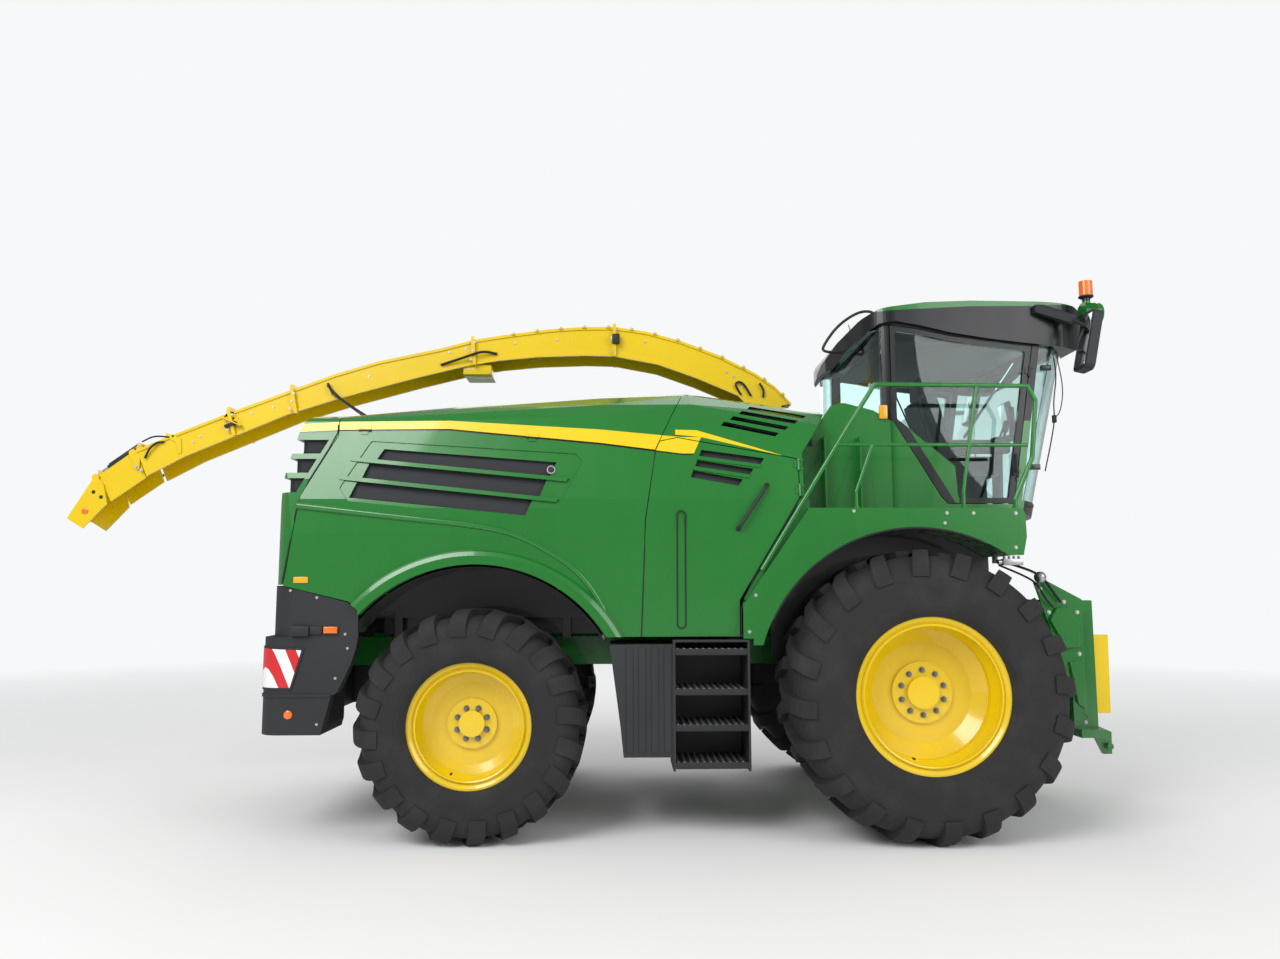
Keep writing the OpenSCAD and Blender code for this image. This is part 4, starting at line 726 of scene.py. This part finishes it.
for s, tag in sides:
    door = f"cab_door_{tag}"
    y = cab["side"]
    bm = bmesh.new()  # gas strut inside the door
    (x0, z0), (x1, z1) = cab["strut"]
    tube(bm, [(x0, s * (y - 50), z0), (x0 - 165, s * (y - 50), z0 - 238)], 6, 10, 0)
    piece(f"strutRod_{tag}", bm, chrome, door)
    bm = bmesh.new()
    bar(bm, (x0 - 150, s * (y - 50), z0 - 216), (x1, s * (y - 50), z1), 11, 14, None, 1)
    piece(f"strutBody_{tag}", bm, blackPlastic, door)
    bm = bmesh.new()  # handle with its lock
    x, z = cab["handle"]
    block(bm, (x - 24, s * (y + 1), z - 90), (x + 24, s * (y + 16), z + 90), 7)
    tube(bm, [(x, s * (y + d), z + h) for d, h in ((12, 70), (40, 60), (40, -50), (12, -60))], 9, 10, 2)
    piece(f"doorHandle_{tag}", bm, blackPlastic, door)
    bm = bmesh.new()  # rubber round the door's glass
    tube(bm, [(px, s * (y - 6), pz) for px, pz in ((0, 3740), (0, 3060), (440, 2690))], 7, 8, 1)
    piece(f"doorSeal_{tag}", bm, sealRubber, door)
    bm = bmesh.new()  # brackets of the mirror's and lamp's arms over the front post
    for z in (3462, 2679):
        x = 1000 + (z - 2400) * math.tan(math.radians(9))
        block(bm, (x - 30, s * (y + 1), z - 22), (x + 52, s * (y + 28), z + 22), 5)
        bolt(bm, (x + 10, s * (y + 28), z), (0, s, 0), 9, 7)
    piece(f"postBrackets_{tag}", bm, blackSteel)
    bm = bmesh.new()
    for radius, points in cab["leads"]:
        tube(bm, [(px, s * py, pz) for px, py, pz in points], radius, 8)
    block(bm, (1222, s * 930, 3030), (1252, s * 958, 3090), 5)
    piece(f"frontLeads_{tag}", bm, sealRubber)
bm = bmesh.new()  # guard rail round the roof's rear corner, on the right only
tube(bm, [(x, -500, z) for x, z in ((-300, 3702), (-480, 3702), (-455, 3775), (-338, 3933), (-166, 4048), (-50, 4052),
                                    (-30, 4010), (-30, 3945))], 12, 10, 3)
piece("roofHoop_r", bm, blackSteel)
for s, tag in sides:
    bm = bmesh.new()  # mirror glass and its rim
    x, y, z = cab["mirror"]
    c = Vector((x, s * y, z))
    block(bm, (c.x - 40, c.y - 82, c.z - 205), (c.x - 36, c.y + 82, c.z + 205), 1, pitched(12), at(*c))
    piece(f"mirrorGlass_{tag}", bm, mirrorFace)
    bm = bmesh.new()  # beacon's rubber foot and cap
    x, y, z = cab["beacon"]
    lathe(bm, [(0, 0), (44, 0), (56, 8), (56, 16), (0, 16)], (x, s * y, z), (0, 0, 1), 28)
    piece(f"beaconFoot_{tag}", bm, blackPlastic)
    bm = bmesh.new()  # front ring and cooling fins of the lamp pod
    x, y, z = cab["pod"]
    lathe(bm, [(70, 0), (84, 0), (86, 12), (80, 22), (70, 18)], (x, s * y, z), (1, 0, 0), 32)
    for k in range(9):
        lathe(bm, [(82, -8), (88, -8), (88, -3), (82, -3)], (x - 108 + 11 * k, s * y, z), (1, 0, 0), 24)
    piece(f"lampPodFins_{tag}", bm, green)
    bm = bmesh.new()  # dark green prop from the deck up to the door's sill
    outline(bm, [(-330, 2332), (-200, 2332), (-240, 2880), (-300, 2880)], s * 955, s * 985, 3)
    piece(f"cabProp_{tag}", bm, green)
    bm = bmesh.new()  # lamp above the rail behind the door
    block(bm, (-150, s * 965, 3050), (-85, s * 1000, 3160), 8)
    piece(f"sideMarker_{tag}", bm, yellowAmber)

bm = bmesh.new()  # wipers and their motor caps
for y in (-320, 320):
    tube(bm, [(1010, y, 2470), (1085, y + 90, 2760), (1140, y + 160, 3010)], 7, 8, 1)
    bar(bm, (1003, y, 2450), (1030, y, 2462), 26, 16)
piece("wiperArms", bm, blackPlastic)
bm = bmesh.new()  # roof lamp rings and the aerial
for y in cab["roofLamps"]:
    lathe(bm, [(35, 0), (46, 0), (46, 26), (40, 32), (35, 28)], (1592, y, 3890), (1, 0, 0), 28)
bar(bm, (-60, 120, 3935), (-60, 120, 3960), 22, 16)
bar(bm, (-60, 120, 3955), (-100, 120, 4110), 4, 8)
piece("roofLampRings", bm, blackPlastic)
print("cab outside dressed")

# cab inside


def cushion(bm, low, high, edge):
    block(bm, low, high)
    soften(bm, edgesOf(list(bm.verts)[-8:]), edge, 5)


bm = bmesh.new()
x = cab["seat"]
for y0, y1, top, edge in ((-262, -110, 2862, 26), (-112, 112, 2852, 22), (110, 262, 2862, 26)):
    cushion(bm, (x + 140, y0, 2790), (x + 700, y1, top), edge)
seatBase = piece("seatCushion", bm, seatCloth)
bm = bmesh.new()
for y0, y1, deep in ((-256, -120, 128), (-122, 122, 112), (120, 256, 128)):
    cushion(bm, (x + 168, y0, 2850), (x + 168 + deep, y1, 3400), 28)
bmesh.ops.rotate(bm, cent=at(x + 240, 0, 2860), matrix=pitched(cab["seatLean"]).to_3x3(), verts=bm.verts)
seatBack = piece("seatBackrest", bm, seatCloth)
bm = bmesh.new()
cushion(bm, (x + 52, -156, 3392), (x + 160, 156, 3588), 36)
headrest = piece("seatHeadrest", bm, seatCloth)
bm = bmesh.new()  # right arm console with its lever and keys
block(bm, (x + 180, -470, 2860), (x + 700, -380, 2972), 16)
block(bm, (x + 560, -480, 2960), (x + 730, -376, 2992), 8)
piece("armConsole", bm, cabTrim)
bm = bmesh.new()
bar(bm, (x + 660, -430, 2985), (x + 672, -430, 3050), 12, 12)
bar(bm, (x + 668, -430, 3040), (x + 694, -430, 3130), 24, 16, 30, 4)
for k in range(6):
    block(bm, (x + 572 + 13 * k, -470, 2991), (x + 581 + 13 * k, -454, 2996), 1)
piece("driveLever", bm, blackPlastic)
bm = bmesh.new()  # monitor on its stalk, and the post display
block(bm, (1062, -520, 3085), (1092, -320, 3290), 8, pitched(-12))
bar(bm, (1000, -400, 2960), (1072, -410, 3130), 10, 12)
block(bm, (1040, -610, 2980), (1066, -540, 3220), 6)
piece("monitorCase", bm, blackPlastic)
bm = bmesh.new()
block(bm, (1056, -508, 3100), (1060, -332, 3276), 1, pitched(-12))
piece("monitorFace", bm, mirrorFace)
bm = bmesh.new()  # floor mat, pedals, side consoles and roof lining
block(bm, (-200, -860, 2376), (1080, 860, 2386), 3)
for y in (-230, -130, 160):
    block(bm, (1190, y - 35, 2420), (1204, y + 35, 2530), 4, pitched(25))
block(bm, (-60, -880, 2386), (160, -480, 2700), 20)
block(bm, (-60, 480, 2386), (160, 880, 2760), 20)
block(bm, (-280, -420, 2386), (20, 420, 2720), 24)
block(bm, (-60, -700, 3700), (1100, 700, 3745), 14)
piece("cabLining", bm, cabTrim)
bm = bmesh.new()  # sun blind and inner mirror
block(bm, (1215, -520, 3560), (1222, 520, 3700), 3)
block(bm, (1130, -110, 3520), (1150, 110, 3590), 6)
piece("sunBlind", bm, blackPlastic)
print("cab inside dressed")

# spout

spout = {
    "side": 190, "tabStep": 205,
    "top": [(-690, 3330), (-830, 3478), (-997, 3592), (-1308, 3748), (-1623, 3870), (-1933, 3955), (-2205, 3995),
            (-2500, 3992), (-2769, 3972), (-3146, 3921)],
    "screws": ((-2700, 3881), (-1942, 3865), (-3060, 3850), (-1240, 3600), (-1180, 3560), (-1100, 3470),
               (-3480, 3800), (-3620, 3770), (-4300, 3560), (-5100, 3290), (-5280, 3240), (-5700, 3040),
               (-5760, 2990)),
    "flanges": ((-3410, 3700, 3850), (-2205, 3770, 3960), (-5440, 3090, 3220), (-4930, 3270, 3400)),
    "hoses": (  # radius, rounds of smoothing, and points as x, distance off the side, z
        (9, 3, ((-1120, 12, 3400), (-1180, 20, 3500), (-1110, 20, 3520), (-1035, 16, 3390))),
        (9, 2, ((-930, 12, 3380), (-925, 24, 3440), (-960, 20, 3500))),
        (11, 2, ((-3212, 10, 3754), (-3330, 46, 3772), (-3480, 46, 3716), (-3689, 12, 3656))),
        (9, 3, ((-6000, 8, 2990), (-6060, 26, 2980), (-6110, 30, 2930), (-6150, 14, 2850))),
        (7, 3, ((-5960, 10, 3030), (-6080, 22, 3040), (-6180, 14, 2990))),
    ),
}


def along(points, step):  # evenly spaced points and slopes in degrees down a line of (x, z)
    left = step / 2
    for (x0, z0), (x1, z1) in zip(points, points[1:]):
        length = math.hypot(x1 - x0, z1 - z0)
        while left < length:
            t = left / length
            yield x0 + (x1 - x0) * t, z0 + (z1 - z0) * t, math.degrees(math.atan2(z1 - z0, x1 - x0))
            left += step
        left -= length


for s, tag in sides:
    y = spout["side"]
    bm = bmesh.new()  # tabs and screws of the wear plate along the top edge
    for x, z, a in along(spout["top"], spout["tabStep"]):
        block(bm, (x - 16, s * (y + 8), z - 12), (x + 16, s * (y + 22), z + 14), 2, pitched(-a))
    piece(f"spoutTabs_{tag}", bm, yellow, "spout_arm")
    bm = bmesh.new()
    for x, z, a in along(spout["top"], spout["tabStep"]):
        bolt(bm, (x, s * (y + 22), z), (0, s, 0), 6, 5)
    for x, z in spout["screws"]:
        bolt(bm, (x, s * y, z), (0, s, 0), 8, 6)
    for x, low, high in spout["flanges"]:
        for k in range(3):
            z = low + (high - low) * k / 2
            bolt(bm, (x - 20 + 14 * k, s * (y + 34), z), (0, s, 0), 8, 6)
    piece(f"spoutBolts_{tag}", bm, galvanised, "spout_arm")
    bm = bmesh.new()  # oil pipes along the arm
    for radius, rounds, points in spout["hoses"]:
        tube(bm, [(px, s * (y + d), pz) for px, d, pz in points], radius, 8, rounds)
    piece(f"spoutHoses_{tag}", bm, sealRubber, "spout_arm")
    bm = bmesh.new()  # triangular lamp bracket on the falling part
    outline(bm, [(-5512, 3200), (-5349, 3128), (-5372, 3160), (-5440, 3262), (-5480, 3250)],
            s * (y + 1), s * (y + 10), 1.5)
    outline(bm, [(-5512, 3200), (-5349, 3128), (-5352, 3118), (-5514, 3190)], s * (y + 1), s * (y + 60), 1.5)
    outline(bm, [(-5985, 3068), (-5860, 3020), (-5850, 2900), (-5880, 2888), (-5905, 2990), (-5996, 3030)],
            s * (y + 1), s * (y + 9), 1.5)
    piece(f"spoutBracket_{tag}", bm, yellow, "spout_arm")
    bm = bmesh.new()
    for x, z in ((-5450, 3215), (-5430, 3190), (-5470, 3205), (-5930, 3040)):
        lathe(bm, [(0, 0), (10, 0), (10, 2), (0, 2)], (x, s * (y + 9.5), z), (0, s, 0), 16)
    block(bm, (-5490, s * (y + 12), 3120), (-5390, s * (y + 56), 3146), 5, pitched(-23))
    piece(f"spoutBracketLamp_{tag}", bm, blackPlastic, "spout_arm")
    bm = bmesh.new()  # bolts of the flap and the tip
    for x, z in ((-6226, 2780), (-6180, 2750)):
        bolt(bm, (x, s * (y + 1), z), (0, s, 0), 11, 8)
    piece(f"flapBolts_{tag}", bm, galvanised, "spout_arm")
    bm = bmesh.new()
    for x, z in ((-6567, 2566), (-6502, 2524)):
        bolt(bm, (x, s * y, z), (0, s, 0), 11, 8)
    piece(f"tipBolts_{tag}", bm, blackSteel, "spout_tip")
    bm = bmesh.new()
    lathe(bm, [(0, 0), (26, 0), (26, 5), (20, 8), (0, 8)], (-6627, s * y, 2406), (0, s, 0), 24)
    piece(f"tipReflector_{tag}", bm, amber, "spout_tip")

bm = bmesh.new()  # lamp and its strap on the crest, on the right
block(bm, (-2225, -248, 3838), (-2160, -206, 3925), 8)
piece("spoutLamp", bm, blackPlastic, "spout_arm")
bm = bmesh.new()
lathe(bm, [(0, 0), (24, 0), (24, 6), (0, 8)], (-2228, -227, 3882), (-1, 0, 0), 24)
piece("spoutLampFace", bm, lampGlass, "spout_arm")
bm = bmesh.new()  # stiffening boxes under the bolted joint
block(bm, (-3505, -172, 3580), (-3262, 172, 3668), 10)
piece("spoutSaddle", bm, yellow, "spout_arm")
bm = bmesh.new()  # flap cylinder with its lugs
bar(bm, (-6262, -60, 2975), (-6500, -60, 2802), 30, 20, None, 3)
bar(bm, (-6496, -60, 2805), (-6520, -60, 2788), 22, 16)
piece("flapBarrel", bm, blackSteel, "spout_flap")
bm = bmesh.new()
bar(bm, (-6515, -60, 2791), (-6575, -60, 2748), 13, 14)
piece("flapRod", bm, chrome, "spout_flap")
bm = bmesh.new()
for y in (-92, -40):
    outline(bm, [(-6250, 2890), (-6230, 2990), (-6270, 3000), (-6310, 2860)], y, y + 12, 1)
    outline(bm, [(-6545, 2700), (-6555, 2760), (-6595, 2765), (-6590, 2680)], y, y + 12, 1)
piece("flapLugs", bm, yellow, "spout_flap")
bm = bmesh.new()
for x, z in ((-6252, 2982), (-6577, 2746)):
    bar(bm, (x, -96, z), (x, -24, z), 9, 12)
piece("flapPins", bm, galvanised, "spout_flap")
bm = bmesh.new()  # hose from the frame up to the cradle's fork
tube(bm, [(-4190, -240, 3125), (-4240, -236, 3170), (-4400, -232, 3270), (-4520, -230, 3350),
          (-4640, -222, 3470)], 9, 8, 2)
piece("cradleHose", bm, sealRubber)
bm = bmesh.new()  # bolts of the slewing ring
for x, y in arc(-820, 0, 262, range(0, 360, 15)):
    bolt(bm, (x, y, 3000.5), (0, 0, 1), 9, 9)
piece("ringBolts", bm, galvanised, "spout_base")
print("spout dressed")

# crop intake, and the valve blocks under the fenders' noses

feeder = {
    "plate": 806,
    "studs": ((1120, 1740), (1180, 1560), (1250, 1360), (1330, 1140), (1400, 940), (1400, 1240), (1300, 1640),
              (1400, 1560)),
    "lines": (  # radius and points of the hydraulic lines down to the intake
        (10, ((860, 700, 1960), (1000, 830, 1900), (1120, 850, 1840), (1200, 845, 1720), (1260, 835, 1640))),
        (8, ((860, 660, 1930), (1010, 800, 1840), (1080, 850, 1780), (1140, 850, 1660), (1200, 835, 1600))),
    ),
}
for s, tag in sides:
    bm = bmesh.new()
    for x, z in feeder["studs"]:
        bolt(bm, (x, s * feeder["plate"], z), (0, s, 0), 11, 9)
    for z in range(700, 1501, 160):
        bolt(bm, (1500, s * 640.5, z), (0, s, 0), 10, 8)
    piece(f"intakeStuds_{tag}", bm, galvanised, "feed_unit")
    bm = bmesh.new()  # chain guard and drive housing on the plate
    outline(bm, [(1170, 1500), (1230, 1600), (1330, 1600), (1400, 1500), (1400, 1300), (1290, 1280)],
            s * (feeder["plate"] + 0.5), s * 838, 6)
    outline(bm, [(1310, 1180), (1420, 1200), (1420, 820), (1360, 860)], s * (feeder["plate"] + 0.5), s * 830, 5)
    piece(f"intakeGuards_{tag}", bm, green, "feed_unit")
    bm = bmesh.new()
    for radius, points in feeder["lines"]:
        tube(bm, [(px, s * py, pz) for px, py, pz in points], radius, 8)
    piece(f"intakeHoses_{tag}", bm, sealRubber, "feed_unit")
    bm = bmesh.new()  # gas accumulator
    lathe(bm, [(0, -46), (18, -44), (34, -32), (44, -12), (46, 8), (38, 28), (20, 42), (0, 46)],
          (1095, s * 870, 1830), (0, 0, 1), 28)
    piece(f"accumulator_{tag}", bm, steel, "feed_unit")
    bm = bmesh.new()  # valve block under the fender's nose
    block(bm, (830, s * 770, 1925), (990, s * 830, 1975), 5)
    for k in range(4):
        bar(bm, (850 + 38 * k, s * 800, 1975), (850 + 38 * k, s * 800, 1998), 11, 8)
    bar(bm, (800, s * 800, 1950), (832, s * 800, 1950), 20, 16)
    piece(f"valveBlock_{tag}", bm, steel)
    bm = bmesh.new()  # brackets that hold the valve block to the fender
    block(bm, (770, s * 780, 1990), (800, s * 980, 2008), 2)
    block(bm, (760, s * 780, 1940), (800, s * 800, 2008), 2)
    piece(f"valveBracket_{tag}", bm, blackSteel)
print("intake dressed")

# stage, lights and camera

stage = {
    "floor": (0.84, 0.84, 0.835), "sky": (0.93, 0.94, 0.95), "skyPower": 0.62, "mirroredSky": 0.34, "size": 120.0,
    "fade": (6.0, 19.0),  # distances over which the floor melts into the sky, in metres
}
bm = bmesh.new()
bmesh.ops.create_grid(bm, x_segments=1, y_segments=1, size=stage["size"] / 2)
mesh = bpy.data.meshes.new("floor")
bm.to_mesh(mesh)
bm.free()
floor = bpy.data.objects.new("floor", mesh)
bpy.context.scene.collection.objects.link(floor)
ground = Surface("paleFloor")
far = ground.node("ShaderNodeVectorMath", {"operation": "LENGTH"}, {0: ground.place}, "Value")
ground.finish(colour=stage["floor"], rough=0.9, spec=0.2, alpha=ground.ramp(far, stage["fade"][1], stage["fade"][0]))
mesh.materials.append(ground.material)

world = bpy.data.worlds.new("softSky")
bpy.context.scene.world = world
world.use_nodes = True
tree = world.node_tree
tree.nodes.clear()
paths = tree.nodes.new("ShaderNodeLightPath").outputs
seen = tree.nodes.new("ShaderNodeMath")
seen.operation = "MAXIMUM"
tree.links.new(paths["Is Camera Ray"], seen.inputs[0])
tree.links.new(paths["Is Transmission Ray"], seen.inputs[1])
soft, pale, dim = (tree.nodes.new("ShaderNodeBackground") for _ in range(3))
for sky, power in ((soft, stage["skyPower"]), (pale, 1.0), (dim, stage["mirroredSky"])):
    sky.inputs["Color"].default_value = (*stage["sky"], 1)
    sky.inputs["Strength"].default_value = power
gloss, blend = (tree.nodes.new("ShaderNodeMixShader") for _ in range(2))
for mixed, sources in ((gloss, (paths["Is Glossy Ray"], soft.outputs[0], dim.outputs[0])),
                       (blend, (seen.outputs[0], gloss.outputs[0], pale.outputs[0]))):
    for socket, source in zip(mixed.inputs, sources):
        tree.links.new(source, socket)
result = tree.nodes.new("ShaderNodeOutputWorld")
tree.links.new(blend.outputs[0], result.inputs[0])

lamps = {  # place and size in metres, power in watts
    "key": ((-7.0, -11.0, 11.0), 9.0, 1500.0),
    "fill": ((9.0, -9.0, 6.0), 8.0, 500.0),
    "back": ((2.0, 11.0, 9.0), 12.0, 420.0),
}
for name, (place, size, power) in lamps.items():
    light = bpy.data.lights.new(name, "AREA")
    light.shape, light.size, light.energy = "DISK", size, power
    lamp = bpy.data.objects.new(name, light)
    lamp.location = place
    lamp.rotation_mode = "QUATERNION"
    lamp.rotation_quaternion = (Vector((0, 0, 1.6)) - Vector(place)).to_track_quat("-Z", "Y")
    bpy.context.scene.collection.objects.link(lamp)

view = {
    "place": (-2.1466, -8.2943, 1.7326), "yaw": 1.1222, "pitch": 6.6045, "roll": -0.1311,  # metres and degrees
    "focal": 962 / 1280 * 36,  # 962 pixels on a frame 1280 pixels wide, in millimetres of a 36 mm sensor
}
camera = bpy.data.cameras.new("photoCamera")
camera.sensor_fit, camera.sensor_width, camera.lens = "HORIZONTAL", 36, view["focal"]
yaw, pitch, roll = (math.radians(view[key]) for key in ("yaw", "pitch", "roll"))
ahead = Vector((math.sin(yaw) * math.cos(pitch), math.cos(yaw) * math.cos(pitch), math.sin(pitch)))
right = Vector((math.cos(yaw), -math.sin(yaw), 0))
up = right.cross(ahead)
right, up = right * math.cos(roll) + up * math.sin(roll), up * math.cos(roll) - right * math.sin(roll)
eye = bpy.data.objects.new("photoCamera", camera)
eye.matrix_world = Matrix((right, up, -ahead)).transposed().to_4x4()
eye.location = Vector(view["place"]) + Vector((axleX, 0, 0))
bpy.context.scene.collection.objects.link(eye)
bpy.context.scene.camera = eye
bpy.context.scene.view_settings.view_transform = "Standard"
print("stage, lights and camera set")
